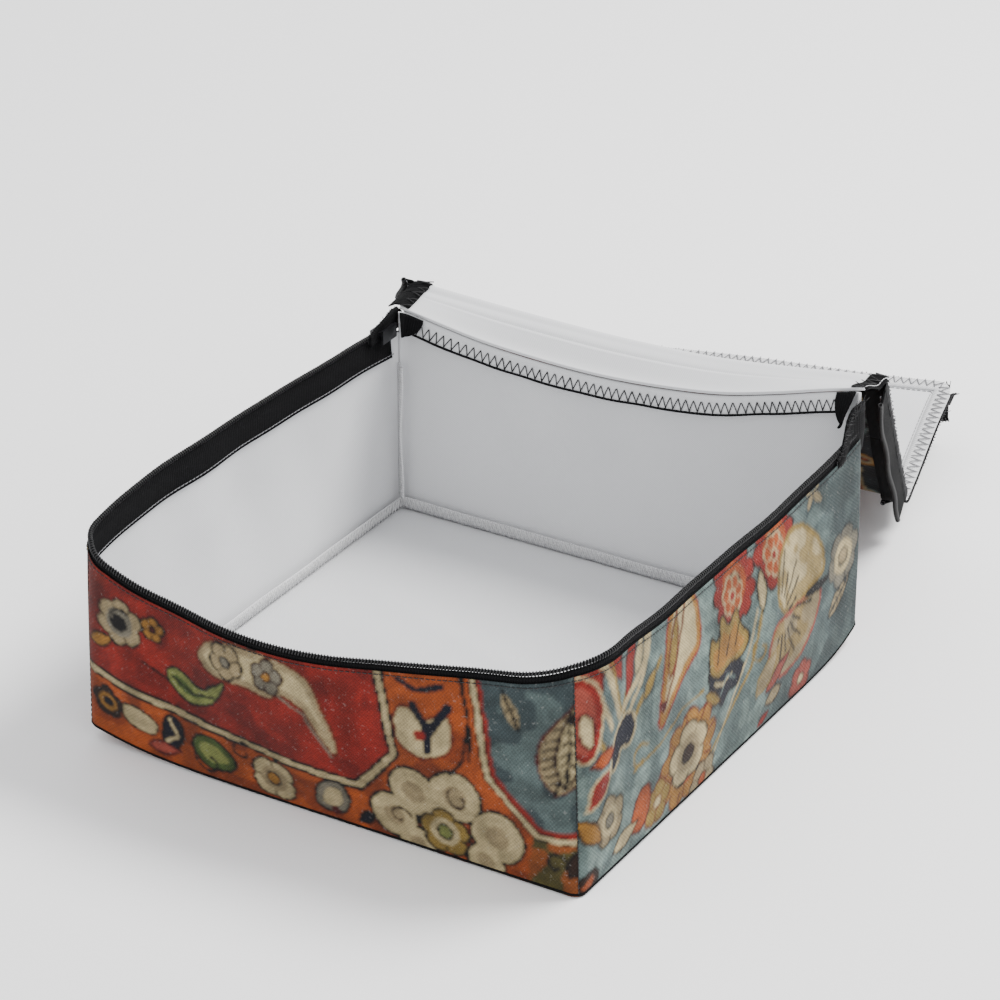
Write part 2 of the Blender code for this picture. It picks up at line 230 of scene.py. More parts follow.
weaveGroup, handlingGroup, lintGroup = buildWeave(), buildHandling(), buildDust()


def placeGroup(tree, group, **values):
    node = tree.nodes.new("ShaderNodeGroup")
    node.node_tree = group
    for key, value in values.items():
        label = {"yarns": "Yarns per metre", "twill": "Twill", "fuzz": "Fuzz", "size": "Size",
                 "depth": "Depth", "amount": "Amount"}[key]
        node.inputs[label].default_value = value
    return node


def mixColour(tree, blendType, factor, a, b):
    node = addNode(tree, "ShaderNodeMix", data_type="RGBA", blend_type=blendType)
    for socket, value in ((node.inputs[0], factor), (node.inputs[6], a), (node.inputs[7], b)):
        if isinstance(value, (int, float, tuple)):
            socket.default_value = value
        else:
            tree.links.new(value, socket)
    return node.outputs[2]


def clothMaterial(name, values):
    # one recipe for every woven finish; printed cloth takes its colour from the knots painted on the mesh
    material = bpy.data.materials.new(name)
    material.use_nodes = True
    tree = material.node_tree
    bsdf = tree.nodes["Principled BSDF"]
    uv = addNode(tree, "ShaderNodeUVMap", uv_map="cloth")
    place = addNode(tree, "ShaderNodeTexCoord")
    weave = placeGroup(tree, weaveGroup, yarns=values["yarns"], twill=values["twill"], fuzz=values["fuzz"])
    tree.links.new(uv.outputs[0], weave.inputs["UV"])
    handling = placeGroup(tree, handlingGroup, size=values["patch"], depth=values["patchDepth"])
    tree.links.new(place.outputs["Object"], handling.inputs["Vector"])
    lint = placeGroup(tree, lintGroup, amount=values["lint"])
    tree.links.new(place.outputs["Object"], lint.inputs["Vector"])
    if values.get("printed"):
        knotColour = addNode(tree, "ShaderNodeAttribute", attribute_name="knots")
        colour = knotColour.outputs["Color"]
    else:
        plain = addNode(tree, "ShaderNodeMix", data_type="RGBA")
        plain.inputs[6].default_value = (*values["dark"], 1)
        plain.inputs[7].default_value = (*values["light"], 1)
        tree.links.new(weave.outputs["Shade"], plain.inputs[0])
        colour = plain.outputs[2]
    shade = mathNode(tree, "ADD", mathNode(tree, "MULTIPLY", weave.outputs["Shade"], values["shade"]),
        1 - values["shade"] * 0.5)
    tone = mathNode(tree, "MULTIPLY", shade, handling.outputs["Tone"])
    grey = addNode(tree, "ShaderNodeCombineColor")
    for socket in grey.inputs:
        tree.links.new(tone, socket)
    colour = mixColour(tree, "MULTIPLY", 1.0, colour, grey.outputs[0])
    colour = mixColour(tree, "MIX", lint.outputs["Mask"], colour, (*values["lintColour"], 1))
    tree.links.new(colour, bsdf.inputs["Base Color"])
    rough = mathNode(tree, "ADD", mathNode(tree, "MULTIPLY", handling.outputs["Rumple"], 0.12),
        values["roughness"] - 0.06)
    tree.links.new(rough, bsdf.inputs["Roughness"])
    bsdf.inputs["Sheen Weight"].default_value = values["sheen"]
    bsdf.inputs["Sheen Roughness"].default_value = 0.45
    bsdf.inputs["Specular IOR Level"].default_value = values.get("gloss", 0.3)
    height = mathNode(tree, "ADD", mathNode(tree, "MULTIPLY", weave.outputs["Height"], values["bump"]),
                      mathNode(tree, "MULTIPLY", handling.outputs["Rumple"], values["rumple"]))
    bump = addNode(tree, "ShaderNodeBump")
    bump.inputs["Strength"].default_value = 0.55
    bump.inputs["Distance"].default_value = 0.0006
    tree.links.new(height, bump.inputs["Height"])
    tree.links.new(bump.outputs[0], bsdf.inputs["Normal"])
    return material


clothValues = {
    "printedCloth": {"printed": True, "yarns": 1100.0, "twill": 0.0, "fuzz": 0.9, "patch": 26.0, "patchDepth": 0.28,
                     "lint": 0.10, "lintColour": (0.62, 0.6, 0.56), "shade": 0.34, "roughness": 0.9, "sheen": 0.02,
                     "bump": 0.30, "rumple": 0.5},
    "liningCloth": {"yarns": 1900.0, "twill": 0.0, "fuzz": 0.25, "patch": 13.0, "patchDepth": 0.05,
                    "lint": 0.03, "lintColour": (0.6, 0.6, 0.6), "shade": 0.06, "roughness": 0.72, "sheen": 0.05,
                    "dark": (0.60, 0.605, 0.62), "light": (0.70, 0.705, 0.715), "bump": 0.10, "rumple": 0.9},
    "tapeWeave": {"yarns": 1500.0, "twill": 1.0, "fuzz": 0.4, "patch": 40.0, "patchDepth": 0.3,
                  "lint": 0.08, "lintColour": (0.05, 0.05, 0.052), "shade": 0.6, "roughness": 0.85, "sheen": 0.0,
                  "gloss": 0.10, "dark": (0.002, 0.002, 0.0024), "light": (0.005, 0.005, 0.0056), "bump": 0.5,
                  "rumple": 0.3},
    "seamTape": {"yarns": 1500.0, "twill": 0.6, "fuzz": 0.6, "patch": 60.0, "patchDepth": 0.14,
                 "lint": 0.06, "lintColour": (0.3, 0.3, 0.3), "shade": 0.2, "roughness": 0.85, "sheen": 0.05,
                 "dark": (0.50, 0.50, 0.51), "light": (0.72, 0.72, 0.73), "bump": 0.4, "rumple": 0.5},
}
cloths = {name: clothMaterial(name, values) for name, values in clothValues.items()}


def threadMaterial(name, dark, light, roughness):
    # twisted sewing thread
    material = bpy.data.materials.new(name)
    material.use_nodes = True
    tree = material.node_tree
    bsdf = tree.nodes["Principled BSDF"]
    place = addNode(tree, "ShaderNodeTexCoord")
    twist = addNode(tree, "ShaderNodeTexWave", wave_type="BANDS", bands_direction="DIAGONAL")
    twist.inputs["Scale"].default_value = 700.0
    twist.inputs["Distortion"].default_value = 2.0
    tree.links.new(place.outputs["Object"], twist.inputs["Vector"])
    colour = mixColour(tree, "MIX", twist.outputs["Fac"], (*dark, 1), (*light, 1))
    lint = placeGroup(tree, lintGroup, amount=0.2)
    tree.links.new(place.outputs["Object"], lint.inputs["Vector"])
    colour = mixColour(tree, "MIX", lint.outputs["Mask"], colour, (*[min(1.0, c * 2.5 + 0.02) for c in light], 1))
    tree.links.new(colour, bsdf.inputs["Base Color"])
    bump = addNode(tree, "ShaderNodeBump")
    bump.inputs["Strength"].default_value = 0.5
    bump.inputs["Distance"].default_value = 0.0002
    tree.links.new(twist.outputs["Fac"], bump.inputs["Height"])
    tree.links.new(bump.outputs[0], bsdf.inputs["Normal"])
    bsdf.inputs["Roughness"].default_value = roughness
    return material


def mouldedMaterial(name, base, worn, roughness, metallic, scale):
    # nylon teeth and painted metal: a fine skin with rubbed, brighter high spots
    material = bpy.data.materials.new(name)
    material.use_nodes = True
    tree = material.node_tree
    bsdf = tree.nodes["Principled BSDF"]
    place = addNode(tree, "ShaderNodeTexCoord")
    handling = placeGroup(tree, handlingGroup, size=scale, depth=1.0)
    tree.links.new(place.outputs["Object"], handling.inputs["Vector"])
    lint = placeGroup(tree, lintGroup, amount=0.5)
    tree.links.new(place.outputs["Object"], lint.inputs["Vector"])
    rub = mathNode(tree, "MULTIPLY", mathNode(tree, "SUBTRACT", handling.outputs["Rumple"], 0.5), 1.6, clamp=True)
    colour = mixColour(tree, "MIX", rub, (*base, 1), (*worn, 1))
    tree.links.new(colour, bsdf.inputs["Base Color"])
    tree.links.new(mathNode(tree, "ADD", mathNode(tree, "MULTIPLY", lint.outputs["Mask"], 0.3), roughness),
        bsdf.inputs["Roughness"])
    bsdf.inputs["Metallic"].default_value = metallic
    bump = addNode(tree, "ShaderNodeBump")
    bump.inputs["Strength"].default_value = 0.2
    bump.inputs["Distance"].default_value = 0.0002
    tree.links.new(handling.outputs["Rumple"], bump.inputs["Height"])
    tree.links.new(bump.outputs[0], bsdf.inputs["Normal"])
    return material


blackThread = threadMaterial("blackThread", (0.004, 0.004, 0.005), (0.02, 0.02, 0.022), 0.7)
greyThread = threadMaterial("greyThread", (0.10, 0.10, 0.11), (0.30, 0.30, 0.31), 0.7)
whiteThread = threadMaterial("whiteThread", (0.55, 0.55, 0.55), (0.8, 0.8, 0.8), 0.75)
coilNylon = mouldedMaterial("coilNylon", (0.006, 0.006, 0.007), (0.014, 0.014, 0.016), 0.50, 0.0, 300.0)
sliderPaint = mouldedMaterial("sliderPaint", (0.012, 0.012, 0.014), (0.08, 0.08, 0.085), 0.34, 0.55, 220.0)
print("materials ready")


# the case outline: four sides between four rounded upright corners

caseValues = {
    "halfWidth": 125.0,
    "halfDepth": 128.0,
    "baseRadius": 5.0,
    "rimRadius": (17.0, 34.0, 9.0, 9.0),   # front left, front right, back right, back left
    "thickness": 1.2,
    "cells": (0.95, 0.95, 1.25, 1.25),
}

# sides in order: front, right, back, left
# each runs from its own corner to the next, so that outside is on the right hand
sideLength = (250.0, 256.0, 250.0, 256.0)
sideStart = ((-125.0, -128.0), (125.0, -128.0), (125.0, 128.0), (-125.0, 128.0))
sideAlong = ((1.0, 0.0), (0.0, 1.0), (-1.0, 0.0), (0.0, -1.0))
sideInward = ((0.0, 1.0), (-1.0, 0.0), (0.0, -1.0), (1.0, 0.0))

# along each side, in mm from its first corner: how high the rim stands, and how far it is pushed out at the rim
rimHeight = (
    ((0, 11, 26, 55, 86, 112, 137, 160, 198, 225, 240, 250), (98.5, 94.8, 91, 87, 85.5, 85, 86.8, 89.5, 94.5, 98.6,
        101.6, 103.6)),
    ((0, 14, 36, 60, 120, 200, 232, 256), (103.6, 104.6, 104.2, 102.4, 100.6, 101.5, 105.5, 111)),
    ((0, 20, 46, 75, 103, 134, 173, 205, 230, 250), (127, 121.5, 113.5, 106, 102, 99.5, 99.5, 101.5, 105, 108)),
    ((0, 60, 130, 200, 240, 256), (101.5, 103, 104, 103.5, 101, 98.5)),
)
rimPush = (
    ((0, 11, 26, 55, 86, 112, 137, 160, 198, 230, 250), (2.5, 4.0, 6.0, 8.5, 12.5, 13.0, 11.5, 8.0, 2.0, 0.0, 0.0)),
    ((0, 30, 128, 220, 256), (0.0, -1.5, -4.0, -2.5, 0.0)),
    ((0, 125, 250), (0.0, 0.0, 0.0)),
    ((0, 40, 130, 220, 256), (0.0, 1.5, 4.5, 5.0, 2.5)),
)
belly = (4.0, 5.0, 4.0, 4.0)


def smoothCurve(x, knots, values):
    # a soft curve through the listed points
    knots, values = np.array(knots, float), np.array(values, float)
    slopes = np.gradient(values, knots)
    x = np.clip(x, knots[0], knots[-1])
    i = np.clip(np.searchsorted(knots, x) - 1, 0, len(knots) - 2)
    span = knots[i + 1] - knots[i]
    t = (x - knots[i]) / span
    return ((2 * t**3 - 3 * t**2 + 1) * values[i] + (t**3 - 2 * t**2 + t) * span * slopes[i]
            + (3 * t**2 - 2 * t**3) * values[i + 1] + (t**3 - t**2) * span * slopes[i + 1])


def radiusAt(corner, h):
    low = caseValues["baseRadius"]
    share = np.clip(h / 100.0, 0, 1.05) ** 1.15
    return low + (caseValues["rimRadius"][corner % 4] - low) * share


def outlineAt(side, f, r0, r1):
    # the point and the outward direction at share f of a side, arcs included, in mm
    e, n, start = (np.array(v[side]) for v in (sideAlong, sideInward, sideStart))
    quarter = math.pi / 4
    length = sideLength[side]
    total = length - r0 - r1 + quarter * (r0 + r1)
    a = f * total
    phi0 = np.clip(quarter - a / r0, 0, None)
    phi1 = np.clip((a - (total - quarter * r1)) / r1, 0, None)
    first, last = phi0 > 0, phi1 > 0
    tang = np.where(first, r0 - r0 * np.sin(phi0), np.where(last, length - r1 + r1 * np.sin(phi1),
        r0 + a - quarter * r0))
    inward = np.where(first, r0 * (1 - np.cos(phi0)), np.where(last, r1 * (1 - np.cos(phi1)), 0.0))
    turn = np.where(first, -phi0, np.where(last, phi1, 0.0))
    point = start + tang[..., None] * e + inward[..., None] * n
    out = -np.cos(turn)[..., None] * n + np.sin(turn)[..., None] * e
    return point, out


def cornerLift(x, y):
    # the two base corners that stand off the floor
    frontLeft = np.hypot(x + 125.0, y + 128.0)
    backRight = np.hypot(x - 125.0, y - 128.0)
    return 7.5 * np.exp(-((frontLeft / 26.0) ** 1.3)) + 8.0 * np.exp(-((backRight / 17.0) ** 1.3))


def ripple(side, u, h):
    # soft upright folds of an unstiffened wall
    wave = (1.3 * np.sin(u / 15.0 + side * 1.7 + h / 60.0) + 0.9 * np.sin(u / 8.3 + 2.1 * side - h / 45.0)
            + 0.8 * np.sin(u / 29.0 + 0.9 * side + h / 22.0))
    return wave * (np.clip(h / 55.0, 0, 1) * (1.0 - 0.8 * np.clip((h - 60.0) / 35.0, 0, 1)))


def casePoint(side, f, h, inset=0.0):
    # a point of the case, in metres: h runs from 0 at the floor seam to 100 at the rim
    f, h = np.broadcast_arrays(np.asarray(f, float), np.asarray(h, float))
    point, out = outlineAt(side, f, radiusAt(side, h), radiusAt(side + 1, h))
    u = f * sideLength[side]
    middle = np.clip(np.sin(math.pi * np.clip(f, 0, 1)), 0, 1) ** 0.6
    push = smoothCurve(u, *rimPush[side]) * (h / 100.0) ** 1.1
    push = push + belly[side] * np.sin(math.pi * np.clip(h / 100.0, 0, 1)) * middle
    push = push + ripple(side, u, h) * middle
    low = cornerLift(point[..., 0], point[..., 1])
    top = smoothCurve(u, *rimHeight[side])
    xy = point + out * (push - inset)[..., None]
    z = low + 0.3 + (top - low) * h / 100.0
    return np.concatenate([xy, z[..., None]], axis=-1) * mm, out


def gridNormals(points):
    du = np.gradient(points, axis=0)
    dv = np.gradient(points, axis=1)
    normal = np.cross(du, dv)
    return normal / np.maximum(np.linalg.norm(normal, axis=-1, keepdims=True), 1e-12)


def clothPiece(name, outer, thickness, materials, knots=None, normals=None, smooth=True):
    # a closed sheet: outer face, inner face and the cut edge between them
    n, m = outer.shape[:2]
    inner = outer - (gridNormals(outer) if normals is None else normals) * np.asarray(thickness)
    index = np.arange(n * m).reshape(n, m)
    quads = np.stack([index[:-1, :-1], index[1:, :-1], index[1:, 1:], index[:-1, 1:]], -1).reshape(-1, 4)
    back = quads[:, ::-1] + n * m
    rim = np.concatenate([index[:, 0], index[-1, 1:], index[-2::-1, -1], index[0, -2:0:-1]])
    following = np.roll(rim, -1)
    edge = np.stack([following, rim, rim + n * m, following + n * m], -1)
    faces = np.concatenate([quads, back, edge])
    mesh = bpy.data.meshes.new(name)
    points = np.concatenate([outer.reshape(-1, 3), inner.reshape(-1, 3)])
    mesh.vertices.add(len(points))
    mesh.vertices.foreach_set("co", points.ravel())
    mesh.loops.add(faces.size)
    mesh.loops.foreach_set("vertex_index", faces.ravel())
    mesh.polygons.add(len(faces))
    mesh.polygons.foreach_set("loop_start", np.arange(len(faces)) * 4)
    mesh.update(calc_edges=True)
    for material in materials:
        mesh.materials.append(material)
    slots = np.zeros(len(faces), np.int32)
    slots[len(quads):2 * len(quads)] = min(1, len(materials) - 1)
    slots[2 * len(quads):] = len(materials) - 1
    mesh.polygons.foreach_set("material_index", slots)
    mesh.polygons.foreach_set("use_smooth", np.concatenate([np.full(2 * len(quads), smooth), np.zeros(len(edge),
        bool)]))
    # UV in metres along the cloth
    du = np.linalg.norm(np.diff(outer, axis=0), axis=-1).mean(axis=1)
    dv = np.linalg.norm(np.diff(outer, axis=1), axis=-1).mean(axis=0)
    uu = np.concatenate([[0], np.cumsum(du)])[:, None] + np.zeros((n, m))
    vv = np.concatenate([[0], np.cumsum(dv)])[None, :] + np.zeros((n, m))
    flat = np.tile(np.stack([uu, vv], -1).reshape(-1, 2), (2, 1))
    layer = mesh.uv_layers.new(name="cloth")
    layer.data.foreach_set("uv", flat[faces.ravel()].astype(np.float32).ravel())
    if knots is not None:
        # neighbouring knots run into each other a little
        wide = np.pad(knots, ((1, 1), (1, 1), (0, 0)), mode="edge")
        shared = (wide[:-1, :-1] + wide[1:, :-1] + wide[:-1, 1:] + wide[1:, 1:]) / 4
        colours = np.ones((len(faces), 4, 4), np.float32)
        colours[..., :3] = np.tile(shared.reshape(-1, 3), (2, 1))[faces]
        attribute = mesh.color_attributes.new("knots", "FLOAT_COLOR", "CORNER")
        attribute.data.foreach_set("color", colours.ravel())
    mesh.validate()
    piece = bpy.data.objects.new(name, mesh)
    scene.collection.objects.link(piece)
    return piece


# the print: a knotted carpet pattern, one colour for each knot


def inLight(rgb):
    c = np.array(rgb, float) / 255.0
    return np.where(c <= 0.04045, c / 12.92, ((c + 0.055) / 1.055) ** 2.4)


ink = {name: inLight(rgb) for name, rgb in {
    "red": (186, 48, 36), "deepRed": (128, 28, 28), "rose": (196, 92, 78), "orange": (206, 98, 38),
    "rust": (150, 58, 30), "ochre": (196, 142, 62), "gold": (178, 150, 76), "cream": (208, 194, 152),
    "beige": (182, 166, 130), "grey": (150, 146, 132), "green": (104, 132, 66), "paleGreen": (160, 172, 98),
    "blue": (128, 152, 154), "slate": (88, 108, 116), "deepSlate": (58, 70, 80), "sky": (160, 186, 184),
    "navy": (30, 36, 74),
    "dark": (34, 24, 24), "brown": (88, 56, 38), "olive": (120, 112, 58),
}.items()}


def hashNoise(u, z, seed):
    value = np.sin(u * 12.9898 + z * 78.233 + seed * 37.719) * 43758.5453
    return value - np.floor(value)


def softNoise(u, z, size, seed):
    a, b = u / size, z / size
    i, j = np.floor(a), np.floor(b)
    s, t = a - i, b - j
    s, t = s * s * (3 - 2 * s), t * t * (3 - 2 * t)
    low = hashNoise(i, j, seed) * (1 - s) + hashNoise(i + 1, j, seed) * s
    high = hashNoise(i, j + 1, seed) * (1 - s) + hashNoise(i + 1, j + 1, seed) * s
    return low * (1 - t) + high * t


class Carpet:
    # a patch of knots that motifs are laid on, in mm along and up the wall
    def __init__(self, u, z, ground):
        self.u = u + 1.1 * (softNoise(u, z, 6.0, 3) - 0.5)
        self.z = z + 1.1 * (softNoise(u, z, 6.0, 4) - 0.5)
        self.colour = np.zeros(u.shape + (3,)) + ink[ground]

    def lay(self, mask, name, strength=1.0):
        self.colour[mask] = self.colour[mask] * (1 - strength) + ink[name] * strength

    def edgeDistance(self, points, closed=True):
        best = np.full(self.u.shape, 1e9)
        ends = list(zip(points, points[1:])) + ([(points[-1], points[0])] if closed else [])
        for (ax, ay), (bx, by) in ends:
            dx, dy = bx - ax, by - ay
            t = np.clip(((self.u - ax) * dx + (self.z - ay) * dy) / max(dx * dx + dy * dy, 1e-9), 0, 1)
            best = np.minimum(best, np.hypot(self.u - ax - t * dx, self.z - ay - t * dy))
        return best

    def inside(self, points):
        result = np.zeros(self.u.shape, bool)
        for (ax, ay), (bx, by) in zip(points, points[1:] + points[:1]):
            if ay != by:
                crossing = (ay > self.z) != (by > self.z)
                result ^= crossing & (self.u < (bx - ax) * (self.z - ay) / (by - ay) + ax)
        return result

    def line(self, points, name, width=1.4):
        self.lay(self.edgeDistance(points, False) < width / 2, name)

    def shape(self, points, fill, edge="dark", edgeWidth=1.3, core=None):
        points = roundOff(points)
        within, distance = self.inside(points), self.edgeDistance(points)
        if edge:
            self.lay(within | (distance < edgeWidth * 0.5), edge)
        self.lay(within & (distance > edgeWidth * 0.5), fill)
        if core:
            self.lay(within & (distance > edgeWidth + 2.4), core)

    def field(self, points, name):
        self.lay(self.inside(points), name)

    def flower(self, u, z, radius, lobes, fill, edge="dark", eye="orange", turn=0.0, core=None, squashed=1.0):
        du, dz = self.u - u, (self.z - z) / squashed
        angle = np.arctan2(dz, du) - turn
        reach = radius * (0.80 + 0.20 * np.abs(np.cos(angle * lobes / 2)) ** 0.7)
        away = np.hypot(du, dz)
        self.lay(away < reach, edge)
        self.lay(away < reach - 1.3, fill)
        self.lay((away < reach - 1.3) & (np.abs(np.cos(angle * lobes / 2)) * away < 0.8) & (away > radius * 0.38),
            edge)
        if core:
            self.lay((away < radius * 0.55) & (away > radius * 0.3), core)
        self.lay(away < radius * 0.32, edge)
        self.lay(away < radius * 0.32 - 1.1, eye)

    def leaf(self, u, z, length, width, turn, fill, edge="dark", vein=None):
        du, dz = self.u - u, self.z - z
        a = du * math.cos(turn) + dz * math.sin(turn)
        b = -du * math.sin(turn) + dz * math.cos(turn)
        t = np.clip(a / length, 0, 1)
        half = width * 0.5 * np.sin(math.pi * t ** 0.8)
        within = (a > 0) & (a < length) & (np.abs(b) < half)
        self.lay((a > -0.8) & (a < length + 0.8) & (np.abs(b) < half + 0.7), edge)
        self.lay(within & (np.abs(b) < half - 0.6), fill)
        if vein:
            self.lay(within & (np.abs(b) < 0.7), vein)
            self.lay(within & (np.abs(np.mod(a + np.abs(b) * 0.8, 4.6) - 2.3) < 0.55) & (np.abs(b) < half - 1.2),
                vein)

    def curl(self, u, z, radius, turn, name, width=1.3, sweep=1.6):
        steps = [turn + sweep * math.pi * k / 14 for k in range(15)]
        points = [(u + radius * (1 - 0.05 * k) * math.cos(t), z + radius * (1 - 0.05 * k) * math.sin(t)) for k,
            t in enumerate(steps)]
        self.line(points, name, width)

    def stripes(self, points, bands):
        # nested guard lines: (offset from the middle, width, colour)
        distance = self.edgeDistance(points, False)
        for width, name in bands:
            self.lay(distance < width / 2, name)

    def finish(self, seed):
        # uneven dye: whole patches and single knots differ a little
        patch = 0.66 + 0.68 * softNoise(self.u, self.z, 9.0, seed)
        fine = 0.84 + 0.32 * softNoise(self.u, self.z, 2.4, seed + 5)
        knot = 0.86 + 0.28 * hashNoise(np.round(self.u * 0.8), np.round(self.z * 0.8), seed + 9)
        rows = 0.95 + 0.10 * hashNoise(np.round(self.z * 0.8), np.round(self.z * 0.8) * 0 + 1, seed + 11)
        # the deep dyes go darker than the pale ones
        depth = np.sqrt(self.colour.mean(axis=-1, keepdims=True))
        dyed = self.colour * depth * np.array([1.18, 1.12, 1.02])
        return np.clip(dyed * (0.50 * patch * fine * knot * rows)[..., None], 0, 1)


def roundOff(points, rounds=2):
    for _ in range(rounds):
        cut = []
        for (ax, ay), (bx, by) in zip(points, points[1:] + points[:1]):
            cut += [(ax * 0.75 + bx * 0.25, ay * 0.75 + by * 0.25), (ax * 0.25 + bx * 0.75, ay * 0.25 + by * 0.75)]
        points = cut
    return points


def printFront(u, z):
    c = Carpet(u, z, "orange")
    c.lay(softNoise(u, z, 14, 21) > 0.55, "rust", 0.45)
    guard = [(-30, 37), (7, 35), (146, 24), (166, 47), (160, 84), (158, 130)]
    c.field([(-30, 37), (7, 35), (146, 24), (166, 47), (160, 84), (158, 130), (-30, 130)], "red")
    # red field
    c.lay(c.inside([(-30, 37), (7, 35), (20, 130), (-30, 130)]), "brown", 0.25)
    c.lay((softNoise(u, z, 11, 8) > 0.62) & c.inside([(-30, 37), (146, 24), (166, 47), (158, 130), (-30, 130)]),
        "deepRed", 0.35)
    c.line([(34, 52), (48, 46), (60, 40)], "dark", 1.2)
    c.flower(22, 67, 14, 6, "beige", turn=0.4, core="grey", eye="dark", squashed=0.9)
    c.curl(22, 67, 7.5, 0.8, "dark", 1.3)
    c.flower(41, 70, 7, 5, "ochre", eye="deepRed", turn=0.2)
    c.shape([(46, 50), (51, 41), (62, 38), (74, 43), (84, 60), (76, 55), (66, 47), (58, 53), (50, 55)], "paleGreen",
        core="green")
    c.line([(50, 49), (62, 44), (75, 48)], "dark", 1.1)
    c.leaf(4, 50, 15, 7, 0.5, "ochre")
    c.shape([(69, 74), (66, 64), (78, 58), (92, 61), (104, 57), (112, 62), (124, 60), (137, 34), (139, 46),
        (133, 62), (126, 76), (100, 80), (80, 80)], "beige", edge="rust", core="cream")
    c.flower(84, 70, 10, 5, "beige", turn=0.9, eye="grey")
    c.flower(106, 69, 9, 5, "grey", edge="brown", turn=0.2, eye="ochre")
    c.line([(112, 61), (124, 56), (135, 37)], "grey", 1.2)
    c.leaf(92, 84, 18, 8, 0.1, "rose")
    # guard between the field and the border
    c.stripes(guard, ((5.8, "dark"), (2.8, "cream"), (1.0, "beige")))
    # border below it
    c.flower(12, 20, 9, 5, "brown", eye="navy", turn=0.3, core="ochre")
    c.shape([(20, 24), (28, 26), (40, 21), (38, 12), (28, 12), (20, 16)], "cream", edge="brown")
    c.shape([(41, 10), (43, 25), (49, 29), (55, 22), (52, 13), (47, 9)], "navy", edge="dark")
    c.line([(44, 13), (50, 18), (47, 25)], "cream", 2.0)
    c.leaf(33, 6, 18, 7, 0.2, "rose", edge="deepRed")
    c.shape([(57, 19), (66, 26), (79, 20), (82, 10), (70, 5), (60, 9)], "green", core="paleGreen")
    c.curl(66, 10, 8, 2.6, "dark", 1.2)
    c.flower(101, 13, 12.5, 4, "cream", turn=0.75, eye="ochre", core="beige")
    c.curl(86, 22, 6, 1.2, "dark", 1.2)
    c.shape([(120, 5), (125, 21), (137, 24), (141, 14), (134, 4)], "grey", core="cream")
    c.shape([(141, 3), (148, 13), (152, 5)], "navy")
    c.lay(np.hypot(c.u - 131, c.z - 6) < 2.4, "deepRed")
    # the large pale flower under the corner of the guard
    for lobeU, lobeZ, lobeR in ((162, 14, 12.5), (174, 30, 13), (194, 33, 13), (213, 18, 13.5), (206, 4, 10),
            (172, 2, 10)):
        c.lay(np.hypot(c.u - lobeU, c.z - lobeZ) < lobeR, "dark")
    for lobeU, lobeZ, lobeR in ((162, 14, 12.5), (174, 30, 13), (194, 33, 13), (213, 18, 13.5), (206, 4, 10),
            (172, 2, 10)):
        c.lay(np.hypot(c.u - lobeU, c.z - lobeZ) < lobeR - 1.4, "cream")
        c.lay(np.hypot(c.u - lobeU, c.z - lobeZ) < lobeR * 0.42, "beige")
    c.flower(187, 13, 13, 5, "gold", turn=0.3, eye="paleGreen", core="cream")
    c.curl(165, 14, 6, 0.2, "brown", 1.1)
    c.curl(196, 32, 6, 2.2, "brown", 1.1)
    # tulip
    c.shape([(168, 54), (176, 49), (188, 50), (196, 58), (192, 76), (184, 66), (172, 74), (166, 66)], "cream",
        edge="rust")
    c.line([(177, 73), (184, 62), (193, 75)], "navy", 4.0)
    c.line([(184, 62), (183, 53)], "navy", 3.2)
    c.lay(np.hypot(c.u - 180, c.z - 60) < 2.6, "red")
    c.line([(170, 84), (178, 80), (190, 84)], "navy", 2.6)
    c.line([(199, 92), (202, 70), (199, 52), (193, 44)], "dark", 1.3)
    c.leaf(150, 98, 14, 6, -1.2, "deepRed")
    # slate corner with its own guard
    c.field([(203, 130), (204, 92), (210, 48), (232, 27), (300, 27), (300, 130)], "slate")
    c.lay((softNoise(u, z, 10, 33) > 0.5) & (c.u > 206) & (c.z > 26) & c.inside([(203, 130), (210, 48), (232, 27),
        (300, 27), (300, 130)]), "blue", 0.6)
    c.field([(230, 24), (300, 24), (300, -20), (222, -20)], "olive")
    c.lay(c.inside([(230, 24), (300, 24), (300, -20), (222, -20)]) & (softNoise(u, z, 8, 5) > 0.5), "orange", 0.7)
    c.stripes([(203.5, 130), (205.5, 92), (211.5, 48.5), (233, 27), (300, 25.5)], ((4.6, "red"),))
    c.stripes([(202, 130), (204, 92), (210, 47), (232, 25), (300, 23.5)], ((3.8, "dark"), (2.4, "cream")))
    c.line([(196, 130), (198, 92), (203, 66), (202, 52)], "dark", 1.6)
    c.leaf(246, 9, 16, 8, 1.0, "brown")
    c.curl(240, 13, 6, 0.4, "dark", 1.3)
    c.leaf(241, 46, 44, 24, 1.30, "beige", edge="deepRed", vein="dark")
    c.leaf(246, 50, 34, 10, 1.5, "cream", edge="brown", vein="dark")
    c.leaf(226, 72, 20, 8, 2.0, "beige", edge="slate", vein="dark")
    return c.finish(1)


